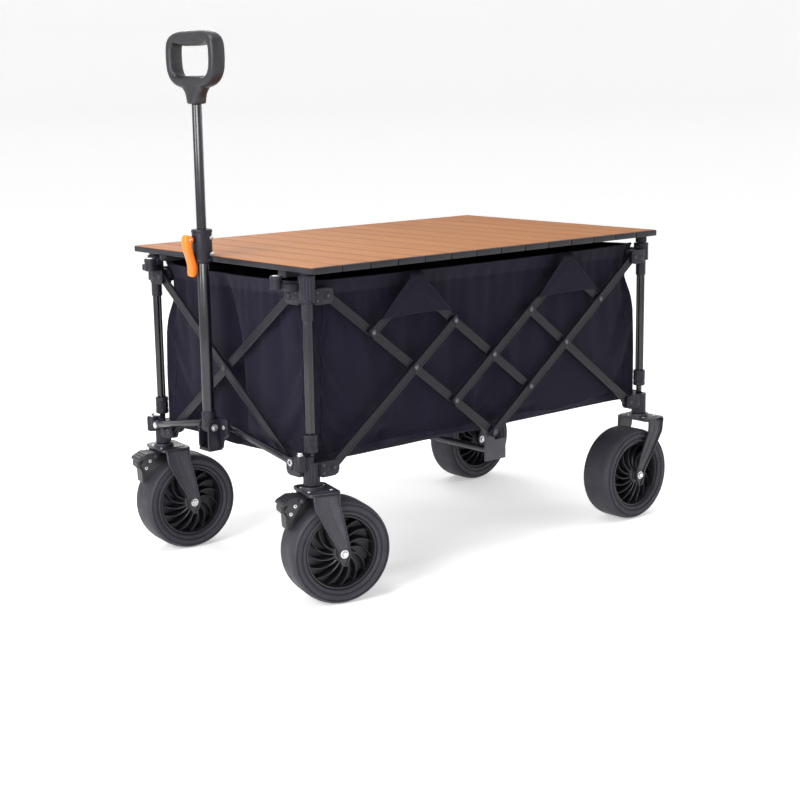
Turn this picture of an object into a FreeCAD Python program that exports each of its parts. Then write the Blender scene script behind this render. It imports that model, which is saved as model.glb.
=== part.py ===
import FreeCAD, Part
import math
import os

import Sketcher

# Folding camp wagon with a lift-off slatted table, as a parametric FreeCAD document.
#
# Millimetres, +Z up, the origin on the floor below the middle of the whole wagon.
# The front, with the pull handle, faces -X. The left side faces -Y, the right side +Y.
# Every corner has an upper and a lower half: a tube that slides over a rod.
# Lattices of crossed flat bars join the corners, so all four sides fold together.

X_AXIS = FreeCAD.Vector(1, 0, 0)
Y_AXIS = FreeCAD.Vector(0, 1, 0)
Z_AXIS = FreeCAD.Vector(0, 0, 1)

SIDES = {"left": -1, "right": 1}
ENDS = {"front": -1, "rear": 1}

DRIVING_SIZES = {
    "origin_x": 20.0,
    "origin_y": 12.14,
    "wheel_radius": 100.0,
    "tyre_width": 76.0,
    "tyre_shoulder": 14.0,
    "rim_radius": 72.0,
    "rim_width": 60.0,
    "rim_wall": 5.0,
    "disc_width": 10.0,
    "hub_radius": 18.0,
    "hub_width": 74.0,
    "axle_radius": 6.0,
    "caster_trail": 44.0,
    "caster_yaw_left": 344.0,
    "caster_yaw_right": 352.3,
    "fork_gap": 82.0,
    "fork_leg": 4.0,
    "fork_plate_low": 214.0,
    "fork_plate": 6.0,
    "front_leg_near": -15.0,
    "front_leg_far": 36.0,
    "rear_leg_near": -30.0,
    "rear_leg_far": 14.0,
    "pedal_half": 20.0,
    "pedal_hinge": 30.0,
    "pedal_hinge_z": 206.0,
    "pedal_barrel": 4.5,
    "race_radius": 20.0,
    "kingpin_radius": 8.0,
    "kingpin_top": 239.0,
    "post_x": 460.0,
    "post_y": 250.0,
    "post_radius": 9.0,
    "post_wall": 1.5,
    "post_low": 300.0,
    "post_top": 606.0,
    "rod_radius": 6.0,
    "rod_low": 244.0,
    "rod_top": 560.0,
    "collar_low": 290.0,
    "collar_top": 324.0,
    "collar_radius": 13.0,
    "sleeve_radius": 16.0,
    "upper_sleeve_low": 568.0,
    "upper_sleeve_top": 605.0,
    "lower_sleeve_low": 228.0,
    "lower_sleeve_top": 272.0,
    "top_lug_x": -498.0,
    "top_lug_y": 210.0,
    "top_lug_low": 592.0,
    "top_lug_height": 26.0,
    "top_lug_radius": 12.0,
    "top_lug_web": 14.0,
    "ear_reach": 40.0,
    "ear_back": 4.5,
    "ear_plate": 6.0,
    "ear_height": 20.0,
    "bar_width": 18.0,
    "bar_plate": 6.0,
    "layer_gap": 0.5,
    "pin_radius": 4.0,
    "rivet_radius": 6.0,
    "rivet_head": 2.0,
    "running_gap": 0.05,
    "pitch_along": 105.0,
    "pitch_up": 80.0,
    "pivot_low": 258.0,
    "hub_plate_low": 196.0,
    "hub_plate_front": -12.0,
    "hub_plate_rear": 43.0,
    "hub_plate_high": 238.0,
    "link_x": 30.0,
    "link_z": 208.0,
    "link_radius": 7.0,
    "link_eye_half": 6.0,
    "link_pivot_y": 236.0,
    "lap_plate": 60.0,
    "lap_thick": 4.0,
    "lap_half": 0.5,
    "arm_x": -486.0,
    "arm_radius": 7.0,
    "arm_eye": 9.0,
    "arm_eye_half": 6.0,
    "arm_low_y": 228.0,
    "arm_low_z": 272.0,
    "arm_high_y": 30.0,
    "arm_high_z": 308.0,
    "lug_face": -474.8,
    "block_rear": -494.5,
    "block_front": -500.5,
    "block_half": 42.0,
    "block_low": 294.0,
    "block_high": 324.0,
    "clevis_front": -532.0,
    "clevis_inner": 13.5,
    "clevis_outer": 18.5,
    "clevis_low": 262.0,
    "handle_x": -513.5,
    "handle_pivot_z": 308.0,
    "handle_radius": 12.0,
    "foot_radius": 12.4,
    "foot_half": 12.8,
    "handle_bolt": 5.0,
    "lower_tube_top": 686.0,
    "bore_low": 322.0,
    "inner_tube_radius": 9.8,
    "inner_tube_wall": 1.6,
    "inner_tube_low": 530.0,
    "inner_tube_top": 940.0,
    "clamp_low": 627.0,
    "clamp_top": 690.0,
    "clamp_radius": 19.0,
    "lever_x": -544.0,
    "lever_z": 672.0,
    "lever_half": 8.0,
    "lever_pin": 3.0,
    "grip_neck": 922.0,
    "grip_top": 1056.0,
    "grip_half": 80.0,
    "grip_limb": 19.0,
    "grip_depth": 34.0,
    "table_front": -480.0,
    "table_length": 937.0,
    "table_half": 297.0,
    "slat_low": 623.5,
    "slat_top": 636.0,
    "slat_gap": 1.2,
    "rail_y": 198.0,
    "rail_half": 12.0,
    "rail_low": 611.0,
    "rail_front": -476.0,
    "rail_rear": 453.0,
    "foot_low": 606.3,
    "table_foot_radius": 12.0,
    "bag_half_x": 450.0,
    "bag_half_y": 242.0,
    "bag_corner": 24.0,
    "bag_low": 264.0,
    "bag_top": 604.0,
    "bag_wall": 3.0,
    "bag_floor": 8.0,
    "flap_y": 268.5,
    "flap_thick": 2.0,
    "flap_low": 520.0,
    "flap_middle": 210.0,
    "flap_foot_half": 90.0,
    "flap_head_half": 18.0,
}

SLAT_COUNT = 14

document = FreeCAD.newDocument("camp_wagon")
sheet = document.addObject("Spreadsheet::Sheet", "sizes")
finished = []


class Size:
    """A length together with the spreadsheet expression that it is worked out from."""

    def __init__(self, value, text):
        self.value = float(value)
        self.text = text

    def __add__(self, other):
        other = as_size(other)
        return Size(self.value + other.value, f"({self.text} + {other.text})")

    def __radd__(self, other):
        return as_size(other) + self

    def __sub__(self, other):
        other = as_size(other)
        return Size(self.value - other.value, f"({self.text} - {other.text})")

    def __rsub__(self, other):
        return as_size(other) - self

    def __mul__(self, other):
        other = as_size(other)
        return Size(self.value * other.value, f"({self.text} * {other.text})")

    def __rmul__(self, other):
        return as_size(other) * self

    def __truediv__(self, other):
        other = as_size(other)
        return Size(self.value / other.value, f"({self.text} / {other.text})")

    def __neg__(self):
        return Size(-self.value, f"(0 - {self.text})")


def as_size(number):
    """A plain number as a Size, which stays as it is if it is one."""
    if isinstance(number, Size):
        return number
    if number < 0:
        return Size(number, f"(0 - {-number})")
    return Size(number, f"{number}")


def root_of_squares(first, second):
    """The long side of a right-angled triangle with these two short sides."""
    value = math.hypot(first.value, second.value)
    return Size(value, f"sqrt({first.text} * {first.text} + {second.text} * {second.text})")


def slope_of(rise, run):
    """The angle, in degrees, of a line that rises this much over this run."""
    value = math.degrees(math.atan2(rise.value, run.value))
    return Size(value, f"atan({rise.text} / {run.text})")


def fill_sheet():
    """Writes the driving sizes to the spreadsheet and returns them by name."""
    found = {}
    for row, (name, value) in enumerate(DRIVING_SIZES.items(), start=1):
        sheet.set(f"A{row}", name)
        sheet.set(f"B{row}", str(value))
        sheet.setAlias(f"B{row}", name)
        found[name] = Size(value, f"sizes.{name}")
    document.recompute()
    return found


s = fill_sheet()


# ---------------------------------------------------------------- building blocks


def bind(thing, path, size):
    """Ties one property of an object to the spreadsheet."""
    thing.setExpression(path, as_size(size).text)


def place(thing, x, y, z, axis=Z_AXIS, angle=0.0):
    """Puts an object at a point, turned about an axis by an angle in degrees."""
    point = FreeCAD.Vector(as_size(x).value, as_size(y).value, as_size(z).value)
    turn = FreeCAD.Rotation(axis, as_size(angle).value)
    thing.Placement = FreeCAD.Placement(point, turn)
    bind(thing, "Placement.Base.x", x)
    bind(thing, "Placement.Base.y", y)
    bind(thing, "Placement.Base.z", z)
    if isinstance(angle, Size):
        bind(thing, "Placement.Rotation.Angle", angle)
    return thing


def box(name, low, high):
    """A block between two opposite corners."""
    block = document.addObject("Part::Box", name)
    for prop, a, b in zip(("Length", "Width", "Height"), low, high):
        length = as_size(b) - a
        setattr(block, prop, length.value)
        bind(block, prop, length)
    return place(block, *low)


def rod(name, start, axis, length, radius):
    """A round rod from a point, along X, Y or Z."""
    bar = document.addObject("Part::Cylinder", name)
    bar.Radius = as_size(radius).value
    bar.Height = as_size(length).value
    bind(bar, "Radius", radius)
    bind(bar, "Height", length)
    if axis is X_AXIS:
        return place(bar, *start, Y_AXIS, 90.0)
    if axis is Y_AXIS:
        return place(bar, *start, X_AXIS, -90.0)
    return place(bar, *start)


def rod_between(name, axis, across, low, high, radius):
    """A round rod along X, Y or Z from low to high, across giving its other two places."""
    low = as_size(low)
    if axis is X_AXIS:
        return rod(name, (low, *across), axis, high - low, radius)
    if axis is Y_AXIS:
        return rod(name, (across[0], low, across[1]), axis, high - low, radius)
    return rod(name, (*across, low), axis, high - low, radius)


def closed_sketch(body, plane, outline):
    """A closed outline on one of a body's origin planes, each corner tied to the sheet."""
    sketch = body.newObject("Sketcher::SketchObject", body.Name + "_outline")
    origin_plane = [f for f in body.Origin.OriginFeatures if f.Role == plane + "_Plane"][0]
    sketch.AttachmentSupport = [(origin_plane, "")]
    sketch.MapMode = "FlatFace"
    corners = [(as_size(u), as_size(v)) for u, v in outline]
    points = [FreeCAD.Vector(u.value, v.value, 0) for u, v in corners]
    count = len(points)
    for k in range(count):
        sketch.addGeometry(Part.LineSegment(points[k], points[(k + 1) % count]), False)
    for k in range(count):
        sketch.addConstraint(Sketcher.Constraint("Coincident", k, 2, (k + 1) % count, 1))
    for k, (u, v) in enumerate(corners):
        for kind, size in (("DistanceX", u), ("DistanceY", v)):
            added = sketch.addConstraint(Sketcher.Constraint(kind, -1, 1, k, 1, size.value))
            sketch.setExpression(f"Constraints[{added}]", size.text)
    return sketch


def outline_plate(name, plane, outline, depth):
    """A PartDesign body: a closed outline on an origin plane, padded along the normal."""
    body = document.addObject("PartDesign::Body", name)
    sketch = closed_sketch(body, plane, outline)
    pad = body.newObject("PartDesign::Pad", name + "_pad")
    pad.Profile = sketch
    pad.Length = as_size(depth).value
    bind(pad, "Length", depth)
    return body


def turned_ring(name, outline):
    """A PartDesign body: an outline of (radius, place along Y) points turned about Y."""
    body = document.addObject("PartDesign::Body", name)
    sketch = closed_sketch(body, "XY", outline)
    turn = body.newObject("PartDesign::Revolution", name + "_turn")
    turn.Profile = sketch
    turn.ReferenceAxis = (sketch, ["V_Axis"])
    turn.Angle = 360.0
    return body


def joined(name, pieces):
    """One object from pieces that meet, or from tools that cut together."""
    if len(pieces) == 1:
        return pieces[0]
    fusion = document.addObject("Part::MultiFuse", name)
    fusion.Shapes = pieces
    fusion.Refine = True
    return fusion


def without(name, solid, hollow):
    """A solid with another taken out of it."""
    cut = document.addObject("Part::Cut", name)
    cut.Base = solid
    cut.Tool = hollow
    return cut


def together(name, pieces):
    """Separate solids that belong to one sub-part."""
    bundle = document.addObject("Part::Compound", name)
    bundle.Links = pieces
    return bundle


def finish(node, thing, x=0.0, y=0.0, z=0.0, axis=Z_AXIS, angle=0.0):
    """Names a finished sub-part and moves it from the wagon's frame to the origin's."""
    place(thing, s["origin_x"] + x, s["origin_y"] + y, z, axis, angle)
    thing.Label = node
    finished.append(thing)


def span(side, near, far):
    """Two distances from the middle plane, as low and high places on one side of it."""
    if side < 0:
        return -as_size(far), -as_size(near)
    return as_size(near), as_size(far)


# ---------------------------------------------------------------- shared places

pivot_x = s["post_x"] - s["ear_reach"]
pivot_y = s["post_y"] - s["ear_reach"]
pivot_high = s["pivot_low"] + 4 * s["pitch_up"]
bar_pitch = root_of_squares(s["pitch_along"], s["pitch_up"])
bar_slope = slope_of(s["pitch_up"], s["pitch_along"])
hole_radius = s["pin_radius"] + s["running_gap"]

# Distances outward from a row of posts to each layer of the lattice beside it.
ear_outer = s["ear_plate"] - s["ear_back"]
inner_layer = ear_outer + s["layer_gap"]
inner_outer = inner_layer + s["bar_plate"]
outer_layer = inner_outer + s["layer_gap"]
outer_outer = outer_layer + s["bar_plate"]


# ---------------------------------------------------------------- lattice bars


def flat_bar(node, row, side, layer, pitches, holes, pins, along):
    """A flat bar with round ends, made lying along its own X axis from its first pivot.

    row is how far out the posts beside it stand and side the way that is outward.
    holes and pins are counted in pitches from the first pivot. along is the axis that
    the bar is thick in: Y for the wagon's long sides, X for its ends.
    """
    near = row + (outer_layer if layer == "outer" else inner_layer)
    low, high = span(side, near, near + s["bar_plate"])
    length = pitches * bar_pitch
    half = s["bar_width"] / 2

    def slab(name, a, b):
        if along is Y_AXIS:
            return box(name, (a, low, -half), (b, high, half))
        return box(name, (low, a, -half), (high, b, half))

    def stub(name, at, radius, a, b):
        across = (at, 0.0)
        return rod_between(name, along, across, a, b, radius)

    plate = joined(
        node + "_plate",
        [
            slab(node + "_middle", 0.0, length),
            stub(node + "_first_end", 0.0, half, low, high),
            stub(node + "_last_end", length, half, low, high),
        ],
    )
    drills = [
        stub(f"{node}_drill_{k}", k * bar_pitch, hole_radius, low - 1, high + 1)
        for k in holes
    ]
    bar = without(node + "_drilled", plate, joined(node + "_drills", drills)) if drills else plate
    if pins:
        studs = [bar]
        for k in pins:
            shank = span(side, row + inner_layer, near + s["bar_plate"])
            head = span(side, row + outer_outer, row + outer_outer + s["rivet_head"])
            studs.append(stub(f"{node}_pin_{k}", k * bar_pitch, s["pin_radius"], *shank))
            studs.append(stub(f"{node}_head_{k}", k * bar_pitch, s["rivet_radius"], *head))
        bar = joined(node + "_riveted", studs)
    return bar


# Each lattice bar: first column and row of the pivot grid, pitches, rising or falling
# towards the rear, and the pitches that are drilled. Rising bars lie outside and carry
# the pins of every crossing that isn't drilled.
LATTICE = [
    (0, 4, 3, "rising", [0]),
    (0, 0, 4, "falling", [0, 1, 2, 3, 4]),
    (1, 1, 1, "rising", []),
    (2, 0, 3, "falling", [0, 1, 2, 3]),
    (3, 3, 3, "rising", []),
    (4, 4, 4, "rising", [0, 4]),
    (5, 1, 3, "falling", [0, 1, 3]),
    (6, 0, 1, "falling", [0, 1]),
]

# The pitches of each rising bar where it is pinned to a falling one.
CROSSINGS = {1: [2, 3], 3: [0, 1], 5: [0, 1, 2, 3], 6: [1, 2, 3]}


def make_side_bars(side_name):
    """The eight crossed bars of one long side."""
    side = SIDES[side_name]
    for number, (column, row, pitches, way, holes) in enumerate(LATTICE, start=1):
        node = f"side_bar_{side_name}_{number}"
        rising = way == "rising"
        layer = "outer" if rising else "inner"
        pins = CROSSINGS.get(number, [])
        bar = flat_bar(node, s["post_y"], side, layer, pitches, holes, pins, Y_AXIS)
        x = column * s["pitch_along"] - pivot_x
        z = pivot_high - row * s["pitch_up"]
        finish(node, bar, x, 0.0, z, -Y_AXIS if rising else Y_AXIS, bar_slope)


def make_end_bars(end_name):
    """The two crossed bars of the front or the rear."""
    end = ENDS[end_name]
    for number, way in ((1, "rising"), (2, "falling")):
        node = f"{end_name}_bar_{number}"
        rising = way == "rising"
        layer = "outer" if rising else "inner"
        holes = [0, 4] if rising else [0, 2, 4]
        pins = [2] if rising else []
        bar = flat_bar(node, s["post_x"], end, layer, 4, holes, pins, X_AXIS)
        z = s["pivot_low"] if rising else pivot_high
        finish(node, bar, 0.0, -pivot_y, z, X_AXIS if rising else -X_AXIS, bar_slope)


# ---------------------------------------------------------------- corners


def ear_pin(name, row, side, layer, across, along):
    """The pin of a corner ear, out through the bar that hangs on it."""
    inner = layer == "inner"
    bar_face = row + (inner_outer if inner else outer_outer)
    head_face = bar_face + s["layer_gap"]
    shank = span(side, row, head_face)
    head = span(side, head_face, head_face + s["rivet_head"])
    return [
        rod_between(name + "_shank", along, across, *shank, s["pin_radius"]),
        rod_between(name + "_head", along, across, *head, s["rivet_radius"]),
    ]


def ear_boss(name, row, side, across, along):
    """The spacer that holds a bar of the outer layer off its ear."""
    boss = span(side, row, row + inner_outer)
    return rod_between(name + "_boss", along, across, *boss, s["rivet_radius"])


def corner_ears(name, end, side, pivot_z, side_layer, end_layer):
    """The two ears of a corner bracket: one to the long side's lattice, one to the end's."""
    half = s["ear_height"] / 2
    z_low = pivot_z - half
    z_high = pivot_z + half
    x_ear = span(end, pivot_x, s["post_x"])
    y_ear = span(side, s["post_y"] - s["ear_back"], s["post_y"] + ear_outer)
    x_end = span(end, s["post_x"] - s["ear_back"], s["post_x"] + ear_outer)
    y_end = span(side, pivot_y, s["post_y"])
    pieces = [
        box(name + "_side_ear", (x_ear[0], y_ear[0], z_low), (x_ear[1], y_ear[1], z_high)),
        rod_between(
            name + "_side_eye", Y_AXIS, (end * pivot_x, pivot_z), *y_ear, half
        ),
        box(name + "_end_ear", (x_end[0], y_end[0], z_low), (x_end[1], y_end[1], z_high)),
        rod_between(name + "_end_eye", X_AXIS, (side * pivot_y, pivot_z), *x_end, half),
    ]
    ears = (
        ("_side_pin", s["post_y"], side, side_layer, (end * pivot_x, pivot_z), Y_AXIS),
        ("_end_pin", s["post_x"], end, end_layer, (side * pivot_y, pivot_z), X_AXIS),
    )
    for suffix, row, outward, layer, across, along in ears:
        pieces += ear_pin(name + suffix, row, outward, layer, across, along)
        if layer == "outer":
            pieces.append(ear_boss(name + suffix, row, outward, across, along))
    return pieces


def top_lug(corner, side):
    """The round lug in front of an upper front bracket, and the web that carries it."""
    high = s["top_lug_low"] + s["top_lug_height"]
    web_low = s["top_lug_low"] - 2
    web_y = span(side, s["top_lug_y"] + 4, s["post_y"] - 4)
    lug_at = (s["top_lug_x"], side * s["top_lug_y"])
    web_front = s["top_lug_x"] + 2
    web_rear = -s["post_x"] - s["post_radius"]
    web_high = web_low + s["top_lug_web"]
    return [
        rod_between(f"top_lug_{corner}", Z_AXIS, lug_at, s["top_lug_low"], high, s["top_lug_radius"]),
        box(f"top_lug_web_{corner}", (web_front, web_y[0], web_low), (web_rear, web_y[1], web_high)),
    ]


def make_upper_corner(end_name, side_name):
    """A corner's sliding tube with its guide collar, and its bracket."""
    end, side = ENDS[end_name], SIDES[side_name]
    corner = f"{end_name}_{side_name}"
    x, y = end * s["post_x"], side * s["post_y"]

    def round_bar(name, low, high, radius):
        return rod_between(f"{name}_{corner}", Z_AXIS, (x, y), low, high, radius)

    tube = without(
        f"tube_{corner}",
        round_bar("tube_outside", s["post_low"], s["post_top"], s["post_radius"]),
        round_bar(
            "tube_bore", s["post_low"] - 1, s["post_top"] - 4, s["post_radius"] - s["post_wall"]
        ),
    )
    guide_bore = round_bar(
        "guide_bore", s["collar_low"] - 1, s["post_low"], s["rod_radius"] + s["running_gap"]
    )
    tube_seat = round_bar("tube_seat", s["post_low"], s["collar_top"] + 1, s["post_radius"])
    collar = without(
        f"collar_{corner}",
        round_bar("collar_outside", s["collar_low"], s["collar_top"], s["collar_radius"]),
        joined(f"collar_hollow_{corner}", [guide_bore, tube_seat]),
    )
    finish(f"post_tube_{corner}", together(f"upper_post_{corner}", [tube, collar]))

    front = end_name == "front"
    side_layer = "inner" if front else "outer"
    end_layer = "inner" if side_name == "left" else "outer"
    sleeve = round_bar(
        "upper_sleeve", s["upper_sleeve_low"], s["upper_sleeve_top"], s["sleeve_radius"]
    )
    pieces = [sleeve]
    pieces += corner_ears(f"upper_{corner}", end, side, pivot_high, side_layer, end_layer)
    if front:
        pieces += top_lug(corner, side)
    bracket = without(
        f"upper_bracket_{corner}",
        joined(f"upper_solid_{corner}", pieces),
        round_bar(
            "upper_seat",
            s["upper_sleeve_low"] - 1,
            s["upper_sleeve_top"] + 1,
            s["post_radius"] + s["running_gap"],
        ),
    )
    finish(f"top_bracket_{corner}", bracket)


def pull_lug(corner, side):
    """The forward lug and pin of a lower front bracket, which holds a pull arm."""
    low_z = s["arm_low_z"] - 12
    high_z = s["arm_low_z"] + 12
    root_y = span(side, s["arm_low_y"] + 9, s["post_y"] + 12)
    plate_y = span(side, s["arm_low_y"], s["post_y"] + 12)
    pin_at = (side * s["arm_low_y"], s["arm_low_z"])
    face = s["lug_face"]
    front = face - 4
    pin_front = s["block_rear"] - 1
    return [
        box(f"lug_root_{corner}", (face, root_y[0], low_z), (-s["post_x"], root_y[1], high_z)),
        box(f"lug_plate_{corner}", (front, plate_y[0], low_z), (face, plate_y[1], high_z)),
        rod_between(f"lug_eye_{corner}", X_AXIS, pin_at, front, face, s["arm_eye"]),
        rod_between(f"lug_pin_{corner}", X_AXIS, pin_at, pin_front, face, s["pin_radius"]),
    ]


def make_lower_corner(end_name, side_name):
    """A corner's lower bracket with the rod that the upper tube slides on."""
    end, side = ENDS[end_name], SIDES[side_name]
    corner = f"{end_name}_{side_name}"
    x, y = end * s["post_x"], side * s["post_y"]
    front = end_name == "front"
    side_layer = "outer" if front else "inner"
    end_layer = "outer" if side_name == "left" else "inner"

    def round_bar(name, low, high, radius):
        return rod_between(f"{name}_{corner}", Z_AXIS, (x, y), low, high, radius)

    sleeve = round_bar(
        "lower_sleeve", s["lower_sleeve_low"], s["lower_sleeve_top"], s["sleeve_radius"]
    )
    pieces = [sleeve]
    pieces += corner_ears(f"lower_{corner}", end, side, s["pivot_low"], side_layer, end_layer)
    if front:
        pieces += pull_lug(corner, side)
    hollow = joined(
        f"lower_hollow_{corner}",
        [
            round_bar("rod_seat", s["rod_low"], s["lower_sleeve_top"] + 30, s["rod_radius"]),
            round_bar(
                "kingpin_bore",
                s["lower_sleeve_low"] - 1,
                s["kingpin_top"] + 1,
                s["kingpin_radius"] + s["running_gap"],
            ),
        ],
    )
    bracket = without(f"lower_bracket_{corner}", joined(f"lower_solid_{corner}", pieces), hollow)
    slide_rod = round_bar("slide_rod", s["rod_low"], s["rod_top"], s["rod_radius"])
    finish(f"bottom_bracket_{corner}", together(f"lower_post_{corner}", [bracket, slide_rod]))


# ---------------------------------------------------------------- casters


def fork_leg_outline(top_near, top_far):
    """A fork leg seen from the side: wide at the plate, round about the axle."""
    trail, axle_z = s["caster_trail"], s["wheel_radius"]
    top = s["fork_plate_low"] + 1
    return [
        (top_near, top),
        (top_far, top),
        (top_far + 3, top - 24),
        (trail + 12, axle_z + 2),
        (trail + 10, axle_z - 8),
        (trail + 4, axle_z - 24),
        (trail - 3, axle_z - 24),
        (trail - 11, axle_z - 8),
        (trail - 12, axle_z + 2),
    ]


def make_caster(end_name, side_name):
    """One wheel in its fork, made with its trail along +X and then turned about Z."""
    end, side = ENDS[end_name], SIDES[side_name]
    corner = f"{end_name}_{side_name}"
    trail, axle_z = s["caster_trail"], s["wheel_radius"]
    plate_low, plate_high = s["fork_plate_low"], s["fork_plate_low"] + s["fork_plate"]
    half = s["fork_gap"] / 2
    outer = half + s["fork_leg"]
    middle = (0.0, 0.0)
    race_top = s["lower_sleeve_low"] - 0.5
    top_near = s[f"{end_name}_leg_near"]
    top_far = s[f"{end_name}_leg_far"]
    plate_near = top_near - 8
    plate_far = top_far + 6
    pieces = [
        box(
            f"fork_plate_{corner}",
            (plate_near, -outer, plate_low),
            (plate_far, outer, plate_high),
        ),
        rod_between(f"race_{corner}", Z_AXIS, middle, plate_high, race_top, s["race_radius"]),
        rod_between(
            f"kingpin_{corner}", Z_AXIS, middle, plate_high, s["kingpin_top"], s["kingpin_radius"]
        ),
    ]
    leg_outline = fork_leg_outline(top_near, top_far)
    for place_name, y in (("near", -half), ("far", outer)):
        leg = outline_plate(f"fork_leg_{place_name}_{corner}", "XZ", leg_outline, s["fork_leg"])
        place(leg, 0.0, y, 0.0)
        pieces.append(leg)
    axle_reach = outer + 3
    pieces.append(
        rod_between(
            f"axle_{corner}", Y_AXIS, (trail, axle_z), -axle_reach, axle_reach, s["axle_radius"]
        )
    )
    fork = joined(f"fork_solid_{corner}", pieces)

    half_rim = s["rim_width"] / 2
    half_hub = s["hub_width"] / 2
    half_disc = s["disc_width"] / 2
    inner_rim = s["rim_radius"] - s["rim_wall"]
    bore = s["axle_radius"] + s["running_gap"]
    rim = turned_ring(
        f"rim_ring_{corner}",
        [
            (bore, -half_hub),
            (s["hub_radius"], -half_hub),
            (s["hub_radius"], -half_disc),
            (inner_rim, -half_disc),
            (inner_rim, -half_rim),
            (s["rim_radius"], -half_rim),
            (s["rim_radius"], half_rim),
            (inner_rim, half_rim),
            (inner_rim, half_disc),
            (s["hub_radius"], half_disc),
            (s["hub_radius"], half_hub),
            (bore, half_hub),
        ],
    )
    half_tyre = s["tyre_width"] / 2
    shoulder = s["tyre_shoulder"]
    tyre = turned_ring(
        f"tyre_ring_{corner}",
        [
            (s["rim_radius"], -half_rim),
            (s["rim_radius"] + 4, -half_tyre + 1),
            (s["wheel_radius"] - shoulder, -half_tyre),
            (s["wheel_radius"] - 0.3 * shoulder, -half_tyre + 0.35 * shoulder),
            (s["wheel_radius"], -half_tyre + 1.4 * shoulder),
            (s["wheel_radius"], half_tyre - 1.4 * shoulder),
            (s["wheel_radius"] - 0.3 * shoulder, half_tyre - 0.35 * shoulder),
            (s["wheel_radius"] - shoulder, half_tyre),
            (s["rim_radius"] + 4, half_tyre - 1),
            (s["rim_radius"], half_rim),
        ],
    )
    place(rim, trail, 0.0, axle_z)
    place(tyre, trail, 0.0, axle_z)
    if end_name == "front":
        yaw = s["caster_yaw_left"] if side_name == "left" else s["caster_yaw_right"]
    else:
        yaw = 180.0
    x, y = end * s["post_x"], side * s["post_y"]
    finish(f"caster_fork_{corner}", fork, x, y, 0.0, Z_AXIS, yaw)
    finish(f"wheel_rim_{corner}", together(f"rim_set_{corner}", [rim]), x, y, 0.0, Z_AXIS, yaw)
    finish(f"tyre_{corner}", together(f"tyre_set_{corner}", [tyre]), x, y, 0.0, Z_AXIS, yaw)
    if end_name == "front":
        finish(f"brake_pedal_{side_name}", brake_pedal(side_name), x, y, 0.0, Z_AXIS, yaw)


def brake_pedal(side_name):
    """The foot brake in front of a front fork: a tread above and a shoe by the tyre."""
    outline = [
        (-20.0, 212.0),
        (-46.0, 213.0),
        (-66.0, 203.0),
        (-67.0, 184.0),
        (-58.0, 180.0),
        (-57.0, 150.0),
        (-50.0, 150.0),
        (-44.0, 172.0),
        (-20.0, 196.0),
    ]
    blank = outline_plate(f"pedal_blank_{side_name}", "XZ", outline, 2 * s["pedal_half"])
    place(blank, 0.0, s["pedal_half"], 0.0)
    reach = s["pedal_half"] + 4
    barrel = rod_between(
        f"pedal_barrel_{side_name}",
        Y_AXIS,
        (-s["pedal_hinge"], s["pedal_hinge_z"]),
        -reach,
        reach,
        s["pedal_barrel"],
    )
    return joined(f"pedal_{side_name}", [blank, barrel])


# ---------------------------------------------------------------- floor linkage


def make_floor_hub(side_name):
    """The plate below the middle of a long side, with the pin of its lowest crossing."""
    side = SIDES[side_name]
    y_plate = span(side, s["post_y"] - s["ear_back"], s["post_y"] + ear_outer)
    y_lug = span(side, s["link_pivot_y"] - 8, s["post_y"] - s["ear_back"])
    lug_x = s["link_x"] + s["link_radius"] + 1
    pin_at = (side * s["link_pivot_y"], s["link_z"])
    zero = as_size(0.0)
    pieces = [
        box(
            f"hub_plate_{side_name}",
            (s["hub_plate_front"], y_plate[0], s["hub_plate_low"]),
            (s["hub_plate_rear"], y_plate[1], s["hub_plate_high"]),
        ),
        box(
            f"hub_tongue_{side_name}",
            (s["hub_plate_front"], y_plate[0], s["hub_plate_high"]),
            (-s["hub_plate_front"], y_plate[1], s["pivot_low"]),
        ),
        rod_between(
            f"hub_eye_{side_name}", Y_AXIS, (zero, s["pivot_low"]), *y_plate, -s["hub_plate_front"]
        ),
        box(
            f"hub_lug_{side_name}",
            (lug_x, y_lug[0], s["link_z"] - 9),
            (s["hub_plate_rear"], y_lug[1], s["link_z"] + 9),
        ),
        rod_between(
            f"hub_link_pin_{side_name}",
            X_AXIS,
            pin_at,
            s["link_x"] - s["link_radius"],
            s["hub_plate_rear"],
            s["pin_radius"],
        ),
    ]
    pieces += ear_pin(
        f"hub_pin_{side_name}", s["post_y"], side, "outer", (zero, s["pivot_low"]), Y_AXIS
    )
    finish(f"floor_hub_{side_name}", joined(f"hub_solid_{side_name}", pieces))


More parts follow.
